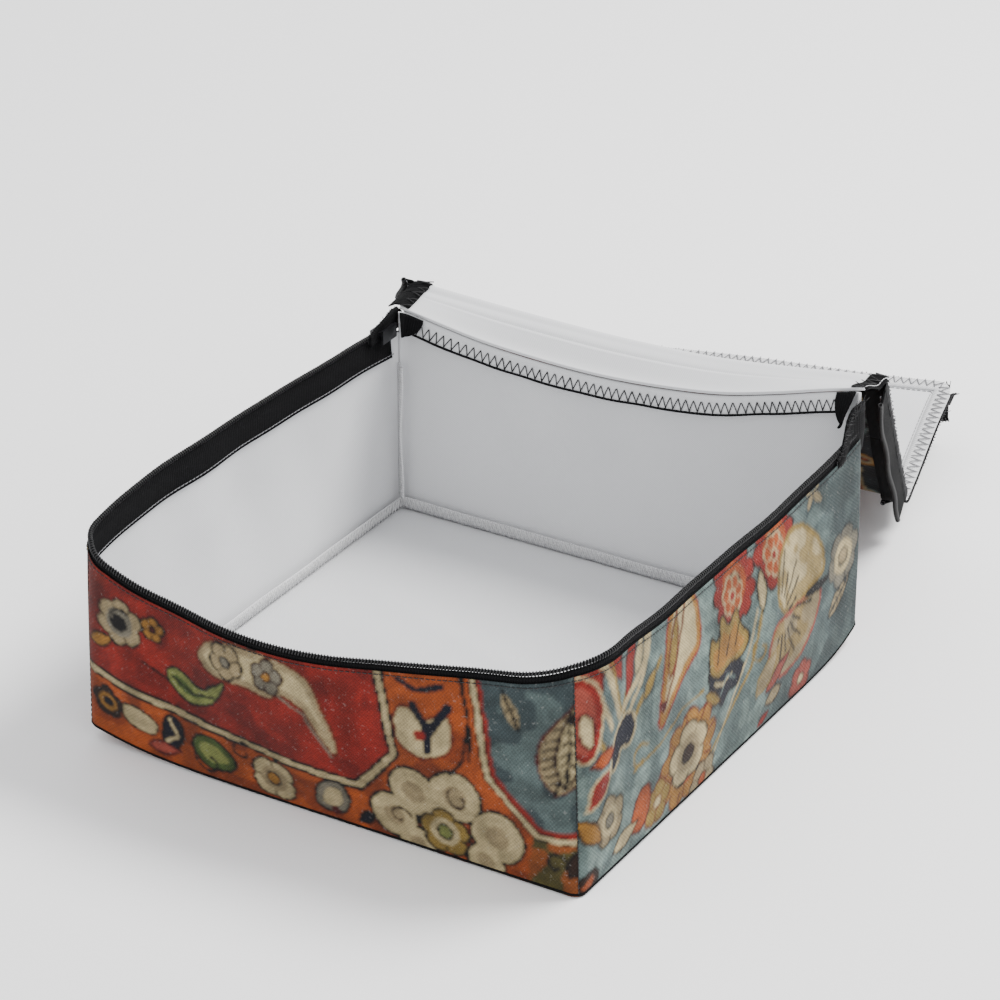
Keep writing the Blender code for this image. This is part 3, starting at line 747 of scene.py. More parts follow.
def printRight(u, z):
    c = Carpet(u, z, "blue")
    c.lay(softNoise(u, z, 12, 51) > 0.5, "slate", 0.35)
    c.lay(softNoise(u, z, 7, 57) > 0.6, "sky", 0.5)
    c.lay(softNoise(u * 2.0, z, 3, 58) > 0.7, "slate", 0.3)
    c.lay(u > 150 + 60 * softNoise(u, z, 22, 52), "slate", 0.45)
    c.lay(u > 205 + 40 * softNoise(u, z, 18, 53), "deepSlate", 0.35)
    c.line([(153, 70), (143, 41), (124, 25), (108, 14)], "gold", 2.0)
    # red lily at the near corner
    for k, (au, az, bu, bz) in enumerate(((-6, 108, 20, 70), (-2, 98, 16, 60), (8, 112, 26, 74), (46, 110, 30, 72),
            (54, 98, 32, 66), (60, 84, 36, 60))):
        c.line([(au, az), ((au + bu) / 2 + 3 * (-1) ** k, (az + bz) / 2), (bu, bz)], "gold" if k % 2 else "cream",
            2.6)
    c.leaf(2, 112, 30, 15, -1.25, "red", edge="deepRed")
    c.leaf(16, 112, 26, 11, -1.1, "red", edge="deepRed")
    c.leaf(38, 104, 30, 8, -1.75, "red", edge="deepRed")
    c.shape([(-8, 92), (4, 100), (14, 88), (12, 66), (4, 58), (-6, 66)], "red", edge="cream", core="rose")
    c.shape([(2, 84), (9, 78), (8, 64), (1, 70)], "cream", edge="deepRed")
    c.line([(-2, 114), (16, 98), (27, 72), (44, 84), (54, 106)], "cream", 3.2)
    c.line([(6, 114), (20, 98), (28, 74)], "gold", 1.6)
    c.shape([(20, 60), (24, 68), (36, 72), (42, 62), (36, 54), (28, 58), (26, 50), (18, 48)], "navy", edge="cream")
    c.leaf(18, 52, 20, 10, 3.9, "red", edge="cream")
    c.leaf(22, 60, 16, 7, 3.3, "orange", edge="deepRed")
    # long ochre leaf
    c.shape([(56, 54), (61, 78), (72, 101), (88, 104), (98, 96), (97, 72), (84, 70), (70, 62), (60, 50)], "ochre",
        edge="red", core="cream")
    c.line([(60, 58), (72, 76), (86, 96)], "rust", 1.6)
    c.leaf(66, 72, 26, 7, 1.1, "gold", edge="rust")
    c.lay(np.hypot(c.u - 60, c.z - 61) < 2.6, "deepRed")
    # two carnations
    for cu, cz, cr in ((130, 84, 20.5), (169, 87, 20.5)):
        c.flower(cu, cz, cr, 11, "red", edge="dark", eye="ochre", turn=0.2, core="orange")
        c.flower(cu - 2, cz - 3, cr * 0.5, 7, "orange", edge="cream", eye="red", turn=0.1)
    c.lay(np.hypot(c.u - 143, c.z - 100) < 4.6, "navy")
    c.leaf(112, 98, 20, 9, 0.9, "cream", edge="dark")
    c.leaf(152, 64, 20, 7, 1.5, "cream", edge="dark")
    # palmettes: two fans with dark ribs
    for fan, fill, edge, heart in (
        ([(164, 58), (168, 76), (180, 87), (196, 86), (210, 74), (219, 55), (200, 52), (182, 50)], "cream", "gold",
            (160, 54)),
        ([(160, 53), (156, 38), (162, 25), (176, 20), (192, 22), (206, 33), (214, 48), (198, 49), (178, 51)],
            "beige", "rose", (170, 58)),
    ):
        c.shape(fan, fill, edge=edge, edgeWidth=2.2)
        c.lay(c.inside(roundOff(fan)) & (softNoise(c.u, c.z, 7, 91) > 0.55), "gold", 0.6)
        for k in range(8):
            a = -0.55 + 0.24 * k if fill == "cream" else -0.25 - 0.24 * k
            near, away = 14.0, 30.0 + 5.0 * math.sin(k * 2.2)
            rib = [(heart[0] + r * math.cos(a + 0.006 * (r - near)),
                heart[1] + r * math.sin(a + 0.006 * (r - near))) for r in (near, (near + away) / 2, away)]
            c.lay(c.inside(roundOff(fan)) & (c.edgeDistance(rib, False) < 0.75), "dark")
    c.leaf(196, 50, 28, 4, -0.05, "dark", edge="dark")
    c.leaf(158, 20, 24, 8, 0.5, "rose", edge="deepRed")
    c.leaf(150, 22, 24, 12, 0.9, "beige", edge="gold")
    # gold spikes over a navy bird-like leaf
    c.shape([(100, 58), (104, 74), (110, 66), (116, 80), (121, 68), (131, 76), (134, 64), (143, 58), (134, 48),
        (118, 52), (106, 50)], "gold", edge="dark", core="ochre")
    c.line([(108, 58), (113, 70)], "dark", 1.3)
    c.line([(118, 58), (122, 66)], "dark", 1.3)
    c.line([(128, 58), (132, 66)], "dark", 1.3)
    c.shape([(99, 60), (108, 50), (122, 53), (139, 46), (130, 36), (120, 40), (114, 33), (108, 42), (102, 44)],
        "navy", edge="dark")
    c.line([(106, 50), (114, 46), (124, 46)], "cream", 1.4)
    c.line([(112, 42), (118, 48), (128, 42)], "blue", 1.2)
    # twining stems
    c.line([(148, 66), (140, 48), (122, 26), (112, 12)], "cream", 1.2)
    c.line([(40, 40), (60, 44), (78, 52), (96, 52)], "gold", 1.3)
    c.curl(44, 44, 7, 0.6, "gold", 1.3)
    c.curl(150, 46, 7, 2.4, "gold", 1.3)
    c.leaf(98, 48, 18, 6, -0.6, "gold", edge="brown")
    c.leaf(40, 84, 20, 7, 1.2, "cream", edge="slate")
    c.leaf(46, 70, 16, 6, 0.9, "gold", edge="slate")
    # ringed orange flower low down
    c.flower(86, 24, 25, 9, "ochre", edge="rust", turn=0.2, eye="orange", core="orange")
    c.flower(86, 26, 16.5, 5, "cream", turn=0.5, eye="brown", core="beige")
    for k in range(9):
        a = 0.35 + k * 0.698
        c.line([(86 + 17 * math.cos(a), 24 + 17 * math.sin(a)), (86 + 22 * math.cos(a), 24 + 22 * math.sin(a))],
            "rust", 1.3)
    c.flower(62, 14, 12, 5, "gold", edge="rust", turn=0.2, eye="cream")
    c.flower(104, 4, 12, 5, "beige", edge="brown", turn=0.9, eye="orange")
    c.shape([(38, 10), (42, 27), (53, 30), (56, 16), (50, 6)], "orange", edge="deepRed")
    c.flower(20, 27, 13, 5, "beige", turn=0.5, eye="grey", core="cream")
    c.leaf(26, 8, 20, 9, 0.3, "cream", edge="brown")
    c.leaf(0, 34, 20, 9, -0.8, "ochre", edge="brown")
    c.shape([(-8, 2), (8, 12), (16, 4), (8, -4)], "brown", core="orange")
    # back end
    for k in range(5):
        c.leaf(208, 97, 12, 5, 0.4 + 1.256 * k, "beige", edge="slate")
    c.flower(236, 51, 16, 6, "grey", edge="deepSlate", turn=0.2, eye="beige", core="cream")
    c.leaf(222, 26, 26, 9, 0.5, "beige", edge="deepSlate", vein="deepSlate")
    c.leaf(156, 3, 10, 5, 0.4, "red", edge="deepRed")
    c.shape([(158, 12), (166, 20), (176, 16), (170, 9)], "beige", edge="brown")
    c.flower(196, 8, 11, 6, "rose", edge="deepRed", turn=0.4, eye="cream")
    return c.finish(2)


def printAllOver(u, z, width, height, ground, seed, spacing=34.0, border=("orange", "rust")):
    # border, guards and scattered flowers for the faces seen less
    c = Carpet(u, z, border[0])
    c.lay(softNoise(u, z, 14, seed) > 0.55, border[1], 0.45)
    m = 26.0
    cut = 22.0
    ring = [(m, m + cut), (m + cut, m), (width - m - cut, m), (width - m, m + cut), (width - m, height - m - cut),
            (width - m - cut, height - m), (m + cut, height - m), (m, height - m - cut)]
    field = c.inside(ring)
    c.lay(field, ground)
    c.lay(field & (softNoise(u, z, 12, seed + 1) > 0.55), {"red": "deepRed", "blue": "slate",
        "slate": "deepSlate"}[ground], 0.35)
    rng = np.random.default_rng(seed)
    fills = ["cream", "beige", "rose", "ochre", "gold", "grey", "red" if ground != "red" else "blue"]
    for i in range(int(width / spacing) + 1):
        for j in range(int(height / spacing) + 1):
            cu = (i + 0.5 + rng.uniform(-0.22, 0.22)) * spacing
            cz = (j + 0.5 + rng.uniform(-0.22, 0.22)) * spacing
            kind, size, turn = rng.integers(0, 3), rng.uniform(8, 14), rng.uniform(0, 6.28)
            fill = fills[int(rng.integers(0, len(fills)))]
            if kind == 0:
                c.flower(cu, cz, size, int(rng.integers(4, 8)), fill, turn=turn, eye="orange", core="beige")
            elif kind == 1:
                for k in range(5):
                    c.leaf(cu, cz, size * 1.5, 7, turn + 0.5 * k, fill, edge="dark", vein="dark")
            else:
                c.shape([(cu + size * math.cos(turn + a) * s, cz + size * math.sin(turn + a) * s)
                         for a, s in ((0, 1.2), (1.2, 0.6), (2.3, 1.0), (3.4, 0.5), (4.6, 0.9), (5.5, 0.6))], fill,
                         core="cream")
                c.curl(cu, cz, size * 0.9, turn, "navy", 1.4)
    c.stripes(ring + ring[:1], ((6.6, "dark"), (4.6, "cream"), (2.0, "red")))
    return c.finish(seed)


# walls and base



def wallGrid(side, hLow, hHigh, cell):
    nu = int(round(sideLength[side] / cell)) + 1
    nh = int(round((hHigh - hLow) / cell)) + 1
    f = np.linspace(0.0, 1.0, nu)[:, None]
    h = np.linspace(hLow, hHigh, nh)[None, :]
    points, _ = casePoint(side, f, h)
    return points, f, h


def centres(f, h, side):
    u = (f[1:] + f[:-1]) / 2 * sideLength[side]
    z = (h[:, 1:] + h[:, :-1]) / 2
    return np.broadcast_arrays(u, z)


wallNames = ("front_wall", "right_wall", "back_wall", "left_wall")
for side, wallName in enumerate(wallNames):
    high = 98.6 if side == 2 else 95.0   # the back wall goes up into the hinge seam
    points, f, h = wallGrid(side, 0.0, high, caseValues["cells"][side])
    u, z = centres(f, h, side)
    height = smoothCurve(u, *rimHeight[side]) * z / 100.0   # knots stay level while the rim rises and dips
    if side == 0:
        knots = printFront(u, height)
    elif side == 1:
        knots = printRight(u, height)
    elif side == 2:
        knots = printAllOver(u, height + 4, 250, 122, "red", 71)
    else:
        knots = printAllOver(u, height + 6, 256, 118, "blue", 83)
    wall = clothPiece(wallName + "_cloth", points, caseValues["thickness"] * mm,
        [cloths["printedCloth"], cloths["liningCloth"], cloths["liningCloth" if side == 2 else "tapeWeave"]], knots)
    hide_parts(wallName)
    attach(wall, "case")
print("walls ready")


baseValues = {"halfWidth": 123.4, "halfDepth": 126.4, "thickness": 1.2, "columns": 124, "rows": 127,
              "piping": 0.65, "pipingHeight": 0.9, "binding": 0.6, "overlock": 2.4,
              "stripRows": [(1.6, 2.2), (4.2, 3.4), (8.0, 4.2)], "overlockRow": (5.6, 4.9)}


def basePanel():
    b = baseValues
    xs = np.linspace(-b["halfWidth"], b["halfWidth"], b["columns"])
    ys = np.linspace(-b["halfDepth"], b["halfDepth"], b["rows"])
    # rows run so that the printed underside faces down
    x, y = np.meshgrid(xs, ys[::-1], indexing="ij")
    crease = 0.8 * np.exp(-(((x * 0.3 + y - 20) / 9.0) ** 2)) + 0.7 * np.exp(-(((x - 0.5 * y + 30) / 11.0) ** 2))
    edge = np.minimum(b["halfWidth"] - np.abs(x), b["halfDepth"] - np.abs(y)) / 40.0
    swell = np.clip(edge, 0, 1) * (crease + 0.6 * softNoise(x, y, 30, 4))
    z = cornerLift(x, y) + 0.25 + swell
    points = np.stack([x, y, z], -1) * mm
    u, v = np.meshgrid((xs[1:] + xs[:-1]) / 2 + 125, ((ys[1:] + ys[:-1]) / 2)[::-1] + 128, indexing="ij")
    knots = printAllOver(u, v, 250, 256, "red", 95)
    piece = clothPiece("base_panel_cloth", points, b["thickness"] * mm,
        [cloths["printedCloth"], cloths["liningCloth"]], knots)
    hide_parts("base_panel")
    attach(piece, "case")


basePanel()


# lines and strips that follow the case


def ringLine(sides, h, inset, step=3.0):
    # centre points and outward directions along several sides, as one line
    # sides is a list of (side, first share, last share)
    points, outs = [], []
    for side, f0, f1 in sides:
        count = max(2, int(abs(f1 - f0) * sideLength[side] / step))
        f = np.linspace(f0, f1, count)
        p, out = casePoint(side, f, np.full(count, float(h)), inset)
        skip = 1 if points else 0
        points.append(p[skip:])
        outs.append(out[skip:])
    return np.concatenate(points), np.concatenate(outs)


def tubeMesh(name, points, radius, sides=6, material=None, closed=False, squash=1.0):
    points = np.asarray(points, float)
    n = len(points)
    tangent = np.roll(points, -1, 0) - np.roll(points, 1, 0) if closed else np.gradient(points, axis=0)
    tangent /= np.linalg.norm(tangent, axis=1, keepdims=True)
    up = np.tile([0.0, 0.0, 1.0], (n, 1))
    side = np.cross(tangent, up)
    weak = np.linalg.norm(side, axis=1) < 0.2
    side[weak] = np.cross(tangent[weak], [1.0, 0.0, 0.0])
    side /= np.linalg.norm(side, axis=1, keepdims=True)
    top = np.cross(side, tangent)
    rings = []
    for k in range(sides):
        a = 2 * math.pi * k / sides
        rings.append(points + radius * (math.cos(a) * side + squash * math.sin(a) * top))
    verts = np.stack(rings, 1).reshape(-1, 3)
    faces = []
    for i in range(n if closed else n - 1):
        j = (i + 1) % n
        for k in range(sides):
            l = (k + 1) % sides
            faces.append((i * sides + k, j * sides + k, j * sides + l, i * sides + l))
    if not closed:
        faces.append(tuple(range(sides)))
        faces.append(tuple(reversed(range((n - 1) * sides, n * sides))))
    mesh = bpy.data.meshes.new(name)
    mesh.from_pydata(verts.tolist(), [], faces)
    flip = closedVolume(mesh) < 0
    if flip:
        mesh.flip_normals()
    for polygon in mesh.polygons:
        polygon.use_smooth = len(polygon.vertices) == 4
    if material:
        mesh.materials.append(material)
    return mesh


def closedVolume(mesh):
    mesh.calc_loop_triangles()
    co = np.zeros(len(mesh.vertices) * 3)
    mesh.vertices.foreach_get("co", co)
    co = co.reshape(-1, 3)
    tri = np.array([t.vertices[:] for t in mesh.loop_triangles])
    a, b, c = co[tri[:, 0]], co[tri[:, 1]], co[tri[:, 2]]
    return float((a * np.cross(b, c)).sum())


def newPiece(name, mesh):
    piece = bpy.data.objects.new(name, mesh)
    scene.collection.objects.link(piece)
    return piece


def buildRepeatTree():
    # sets one small shape again and again along a line, standing up along the line's own "rise" direction
    tree = bpy.data.node_groups.new("repeatAlongLine", "GeometryNodeTree")
    face = tree.interface
    face.new_socket("Geometry", in_out="INPUT", socket_type="NodeSocketGeometry")
    for label, kind, value in (("Shape", "NodeSocketObject", None), ("Spacing", "NodeSocketFloat", 0.002),
                               ("Tilt", "NodeSocketFloat", 0.05), ("Size Spread", "NodeSocketFloat", 0.05),
                               ("Seed", "NodeSocketInt", 1), ("Finish", "NodeSocketMaterial", None)):
        socket = face.new_socket(label, in_out="INPUT", socket_type=kind)
        if value is not None:
            socket.default_value = value
    face.new_socket("Geometry", in_out="OUTPUT", socket_type="NodeSocketGeometry")
    link = tree.links.new
    source, result = tree.nodes.new("NodeGroupInput"), tree.nodes.new("NodeGroupOutput")
    toCurve = tree.nodes.new("GeometryNodeMeshToCurve")
    resample = addNode(tree, "GeometryNodeResampleCurve", mode="LENGTH")
    link(source.outputs["Geometry"], toCurve.inputs[0])
    link(toCurve.outputs[0], resample.inputs["Curve"])
    link(source.outputs["Spacing"], resample.inputs["Length"])
    rise = addNode(tree, "GeometryNodeInputNamedAttribute", data_type="FLOAT_VECTOR")
    rise.inputs["Name"].default_value = "rise"
    tangent = tree.nodes.new("GeometryNodeInputTangent")
    axes = addNode(tree, "FunctionNodeAxesToRotation", primary_axis="Z", secondary_axis="X")
    link(rise.outputs["Attribute"], axes.inputs["Primary Axis"])
    link(tangent.outputs[0], axes.inputs["Secondary Axis"])
    low = tree.nodes.new("ShaderNodeVectorMath")
    low.operation = "SCALE"
    low.inputs[0].default_value = (-1, -1, -1)
    link(source.outputs["Tilt"], low.inputs["Scale"])
    high = tree.nodes.new("ShaderNodeVectorMath")
    high.operation = "SCALE"
    high.inputs[0].default_value = (1, 1, 1)
    link(source.outputs["Tilt"], high.inputs["Scale"])
    spin = addNode(tree, "FunctionNodeRandomValue", data_type="FLOAT_VECTOR")
    link(low.outputs[0], spin.inputs["Min"])
    link(high.outputs[0], spin.inputs["Max"])
    link(source.outputs["Seed"], spin.inputs["Seed"])
    wobble = addNode(tree, "FunctionNodeRotateRotation", rotation_space="LOCAL")
    toTurn = tree.nodes.new("FunctionNodeEulerToRotation")
    link(spin.outputs[0], toTurn.inputs[0])
    link(axes.outputs[0], wobble.inputs["Rotation"])
    link(toTurn.outputs[0], wobble.inputs["Rotate By"])
    size = addNode(tree, "FunctionNodeRandomValue", data_type="FLOAT")
    less = mathNode(tree, "SUBTRACT", 1.0, source.outputs["Size Spread"])
    more = mathNode(tree, "ADD", 1.0, source.outputs["Size Spread"])
    link(less, size.inputs[2])
    link(more, size.inputs[3])
    link(source.outputs["Seed"], size.inputs["Seed"])
    shape = tree.nodes.new("GeometryNodeObjectInfo")
    link(source.outputs["Shape"], shape.inputs["Object"])
    place = tree.nodes.new("GeometryNodeInstanceOnPoints")
    link(resample.outputs[0], place.inputs["Points"])
    link(shape.outputs["Geometry"], place.inputs["Instance"])
    link(wobble.outputs[0], place.inputs["Rotation"])
    link(size.outputs[1], place.inputs["Scale"])
    real = tree.nodes.new("GeometryNodeRealizeInstances")
    finish = tree.nodes.new("GeometryNodeSetMaterial")
    link(place.outputs[0], real.inputs[0])
    link(real.outputs[0], finish.inputs["Geometry"])
    link(source.outputs["Finish"], finish.inputs["Material"])
    link(finish.outputs[0], result.inputs[0])
    return tree


repeatTree = buildRepeatTree()


def unitShape(name, path, radius, sides=4, closed=False):
    shape = newPiece(name, tubeMesh(name, np.array(path) * mm, radius * mm, sides, closed=closed))
    scene.collection.objects.unlink(shape)
    return shape


stitchPath = [(-1.05, 0, -0.10), (-0.7, 0, 0.16), (0, 0, 0.24), (0.7, 0, 0.16), (1.05, 0, -0.10)]
stitchUnit = unitShape("stitchUnit", stitchPath, 0.20, 5)
# a coil tooth is one flattened turn of nylon around the tape's edge
toothTurn = [2 * math.pi * k / 10 for k in range(10)]
toothPath = [(0.25 * math.sin(a), 0.95 * math.cos(a), 1.05 * math.sin(a)) for a in toothTurn]
toothUnit = unitShape("toothUnit", toothPath, 0.34, 4, True)
# overlock: one thread goes over the edge and two run back to the needle line
# the line lies on the strip, and the strip's edge is 3.5 mm along +Y
overlockPath = [(-2.0, -2.3, 0.16), (-1.0, 0.0, 0.26), (-0.1, 2.4, 0.22), (0.0, 3.5, 0.05),
                (0.1, 2.4, 0.22), (1.0, 0.0, 0.26), (2.0, -2.3, 0.16)]
overlockUnit = unitShape("overlockUnit", overlockPath, 0.27, 4)
zigzagPath = [(-1.2, -2.4, 0.20), (-0.6, 0.2, 0.30), (0.0, 2.7, 0.24), (0.6, 0.2, 0.30), (1.2, -2.4, 0.20)]
zigzagUnit = unitShape("zigzagUnit", zigzagPath, 0.20, 4)
fuzzUnit = unitShape("fuzzUnit", [(0, 0, -0.3), (0.25, 0.3, 0.9), (-0.2, 0.9, 1.9), (0.5, 1.2, 2.8)], 0.12, 4)


def repeatAlong(name, points, rises, unit, spacing, material, tilt=0.06, spread=0.06, seed=1):
    guide = bpy.data.meshes.new(name + "_guide")
    guide.from_pydata(np.asarray(points).tolist(), [(i, i + 1) for i in range(len(points) - 1)], [])
    attribute = guide.attributes.new("rise", "FLOAT_VECTOR", "POINT")
    attribute.data.foreach_set("vector", np.asarray(rises, np.float32).ravel())
    holder = newPiece(name + "_guide", guide)
    modifier = holder.modifiers.new("repeat", "NODES")
    modifier.node_group = repeatTree
    ids = {item.name: item.identifier for item in repeatTree.interface.items_tree if item.in_out == "INPUT"}
    for label, value in (("Shape", unit), ("Spacing", spacing * mm), ("Tilt", tilt), ("Size Spread", spread),
                         ("Seed", seed), ("Finish", material)):
        modifier[ids[label]] = value
    bpy.context.view_layer.update()
    mesh = bpy.data.meshes.new_from_object(holder.evaluated_get(bpy.context.evaluated_depsgraph_get()))
    mesh.name = name
    holder.modifiers.clear()
    bpy.data.objects.remove(holder)
    return newPiece(name, mesh)


def stripAlong(name, points, across, width, thickness, material, rows=4):
    # a flat strip from the line's points, running width along its across directions
    share = np.linspace(0, 1, rows)[None, :, None]
    grid = points[:, None, :] + across[:, None, :] * width * share
    return clothPiece(name, grid, thickness, [material]), grid


def upward(outs):
    return np.tile([0.0, 0.0, 1.0], (len(outs), 1))


def flat3(outs):
    return np.concatenate([outs, np.zeros((len(outs), 1))], axis=1)


rimValues = {
    "zipEndShare": 0.024,
    # the tape's rows from the lowest up: height, and how far inside the wall
    "tapeRows": [(83.0, 2.5), (86.5, 1.9), (90.0, 1.6), (93.5, 1.45), (95.2, 0.9), (96.4, 0.7), (97.6, 0.9)],
    "tape": 0.8,
    "coilRow": (98.7, 1.3),
    "cord": 0.75,
    "toothPitch": 1.45,
    "topStitchRow": (93.2, -0.05),
    "innerStitchRow": (84.6, 3.1),
    "stitch": 2.6,
}
openRun = [(3, rimValues["zipEndShare"], 1.0), (0, 0.0, 1.0), (1, 0.0, 1.0 - rimValues["zipEndShare"])]


def ringGrid(sides, places, step=2.5):
    rows = [ringLine(sides, h, inset, step) for h, inset in places]
    return np.stack([r[0] for r in rows], 1), rows[0][1]


def rimTrim():
    v = rimValues
    # the zip tape shows above the wall's edge, and hangs inside below its stitching
    grid, _ = ringGrid(openRun, v["tapeRows"])
    tape = clothPiece("rim_tape_weave", grid, v["tape"] * mm, [cloths["tapeWeave"]])
    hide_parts("rim_tape")
    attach(tape, "case")
    # rolled cord under the teeth
    line, outs = ringLine(openRun, *v["coilRow"], 2.5)
    cordMesh = tubeMesh("rim_coil_cord", line, v["cord"] * mm, 6, cloths["tapeWeave"])
    cordPiece = newPiece("rim_coil_cord", cordMesh)
    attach(cordPiece, "case")
    teeth = repeatAlong("rim_coil_teeth", line, upward(outs), toothUnit, v["toothPitch"], coilNylon, 0.04, 0.03, 3)
    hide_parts("rim_coil")
    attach(teeth, "case")
    # top stitching through the wall into the tape
    line, outs = ringLine(openRun, *v["topStitchRow"], 2.5)
    stitches = repeatAlong("rim_stitches", line, flat3(outs), stitchUnit, v["stitch"], blackThread, 0.05, 0.05, 5)
    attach(stitches, "case")
    line, outs = ringLine(openRun, *v["innerStitchRow"], 2.5)
    inner = repeatAlong("tape_inner_stitches", line, -flat3(outs), stitchUnit, v["stitch"], greyThread, 0.05, 0.05, 7)
    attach(inner, "case")


rimTrim()


def baseTrim():
    # dark piping in the seam where the walls meet the base
    b = baseValues
    allRound = [(side, 0.0, 1.0) for side in range(4)]
    line, outs = ringLine(allRound, b["pipingHeight"], 0.15, 2.5)
    piping = newPiece("base_piping", tubeMesh("base_piping", line[:-1], b["piping"] * mm, 6, cloths["tapeWeave"],
        closed=True))
    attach(piping, "case")
    # the seam's allowance inside, overlocked
    grid, _ = ringGrid(allRound, b["stripRows"])
    binding = clothPiece("base_seam_strip", grid, b["binding"] * mm, [cloths["seamTape"]])
    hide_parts("base_seam_binding")
    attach(binding, "case")
    line, outs = ringLine(allRound, *b["overlockRow"], 2.5)
    rises = -flat3(outs)
    stitches = repeatAlong("base_seam_overlock", line, rises, zigzagUnit, b["overlock"], whiteThread, 0.06, 0.08, 9)
    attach(stitches, "case")


baseTrim()


cornerValues = {"low": 9.0, "high": 79.0, "width": 6.6, "thickness": 0.7, "needle": 3.4, "overlock": 2.4,
                "outerLow": 2.0, "outerHigh": 94.0, "outerStitch": 2.5, "points": 30, "outerPoints": 44}


def cornerTrim():
    v = cornerValues
    names = ("corner_seam_front_left", "corner_seam_front_right", "corner_seam_back_right", "corner_seam_back_left")
    for corner, nodeName in enumerate(names):
        hs = np.linspace(v["low"], v["high"], v["points"])
        p, out = casePoint(corner, np.zeros(v["points"]), hs, 1.5)
        inward = -flat3(out)
        wave = 0.6 * np.sin(hs / 9.0 + corner)
        sideways = np.cross(inward, [0.0, 0.0, 1.0])
        across = inward + sideways * 0.12 * wave[:, None]
        strip, _ = stripAlong(nodeName + "_strip", p, across, v["width"] * mm, v["thickness"] * mm,
            cloths["seamTape"])
        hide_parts(nodeName)
        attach(strip, "case")
        middle = p + inward * v["needle"] * mm + sideways * 0.35 * mm
        stitches = repeatAlong(nodeName + "_overlock", middle, sideways, zigzagUnit, v["overlock"], whiteThread,
            0.05, 0.08, 11 + corner)
        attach(stitches, "case")
        # the seam itself shows outside as a fine sunk line of stitches
        hs = np.linspace(v["outerLow"], v["outerHigh"], v["outerPoints"])
        p, out = casePoint(corner, np.zeros(v["outerPoints"]), hs, -0.02)
        outer = repeatAlong(nodeName + "_outer", p, flat3(out), stitchUnit, v["outerStitch"], blackThread, 0.05,
            0.1, 21 + corner)
        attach(outer, "case")


cornerTrim()


hingeValues = {"points": 110, "height": 98.4, "width": 8.6, "thickness": 0.9, "needle": 5.2, "overlock": 4.1,
               "edge": 0.6, "edgeLine": 8.7}


def hingeTrim():
    v = hingeValues
    # the back seam's allowance hangs inside, black overlock along its raw lower edge
    f = np.linspace(0.03, 0.97, v["points"])
    p, out = casePoint(2, f, np.full(v["points"], v["height"]), 1.3)
    inward = -flat3(out)
    droop = np.array([0.0, 0.0, -1.0])
    lean = 0.30 + 0.10 * np.sin(f * 23.0) + 0.07 * np.sin(f * 51.0)
    across = droop + inward * lean[:, None]
    across /= np.linalg.norm(across, axis=1, keepdims=True)
    strip, _ = stripAlong("hinge_seam_strip", p, across, v["width"] * mm, v["thickness"] * mm,
        cloths["liningCloth"], 5)
    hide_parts("hinge_seam_allowance")
    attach(strip, "case")
    along = np.gradient(p, axis=0)
    along /= np.linalg.norm(along, axis=1, keepdims=True)
    normal = np.cross(across, along)
    face = normal * np.sign((normal * inward).sum(axis=1, keepdims=True))
    # needle line a little above the raw edge; +Y of the unit has to point at the edge
    needle = p + across * v["needle"] * mm + face * 0.15 * mm
    flow = np.cross(face, along)
    order = slice(None) if (flow * across).sum() > 0 else slice(None, None, -1)
    loops = repeatAlong("hinge_seam_overlock", needle[order], face[order], overlockUnit, v["overlock"], blackThread,
        0.06, 0.06, 31)
    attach(loops, "case")
    edge = newPiece("hinge_seam_edge", tubeMesh("hinge_seam_edge", p + across * v["edgeLine"] * mm, v["edge"] * mm, 5,
        cloths["tapeWeave"]))
    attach(edge, "case")


hingeTrim()
print("case trims ready")


# the lid, laid out flat as if it were shut, then folded back the way the frame holds it open

lidValues = {
    "halfWidth": 122.8,
    "reach": 253.0,          # from the hinge line to the front edge
    "cornerRadius": 9.0,
    "height": 118.0,
    "firstFold": 22.0,
    "secondFold": 162.9,
    "swing": 11.0,           # how far the middle part is turned, in degrees
    "pivotX": 120.1,
    "bend": 55.0,
    "thickness": 1.2,
    "farRise": 5.5,
    "splits": (12.0, 86.0),
}
jointOf = {joint["child"]: joint for joint in frame["joints"]}


def jointTurn(body, share):
    joint = jointOf[body]
    place = Vector(joint["pos_m"])
    angle = math.radians(joint["range_deg"][1]) * share
    return Matrix.Translation(place) @ Matrix.Rotation(angle, 4, Vector(joint["axis"])) @ Matrix.Translation(-place)


def restFromShut(body):
    # the shut position of a body, taken back through every joint between it and the case
    total = Matrix.Identity(4)
    while body != "case":
        total = jointTurn(body, 1.0) @ total
        body = jointOf[body]["parent"]
    return np.array(total.inverted())


def moved(matrix, points):
    return points @ matrix[:3, :3].T + matrix[:3, 3]


def rise3(t):
    t = np.clip(t, 0, 1)
    return t * t * (3 - 2 * t)


def bendAbout(points, place, angle):
    # turn each point about a left-to-right line through place, by its own angle
    y, z = points[..., 1] - place[1], points[..., 2] - place[2]
    c, s = np.cos(angle), np.sin(angle)
    return np.stack([points[..., 0], place[1] + c * y - s * z, place[2] + s * y + c * z], -1)


rearPlace = np.array(jointOf["lid_middle"]["pos_m"])
frontPlace = np.array(jointOf["lid_front"]["pos_m"])
toRear, toMiddle = restFromShut("lid_rear"), restFromShut("lid_middle")
flatMiddle = np.array(Matrix.Translation(Vector(rearPlace)) @ Matrix.Rotation(math.radians(lidValues["bend"]), 4, "X")
                      @ Matrix.Translation(-Vector(rearPlace)) @ Matrix(toMiddle.tolist()))


def wedge(x):
    return (lidValues["pivotX"] - x) * math.tan(math.radians(lidValues["swing"]))


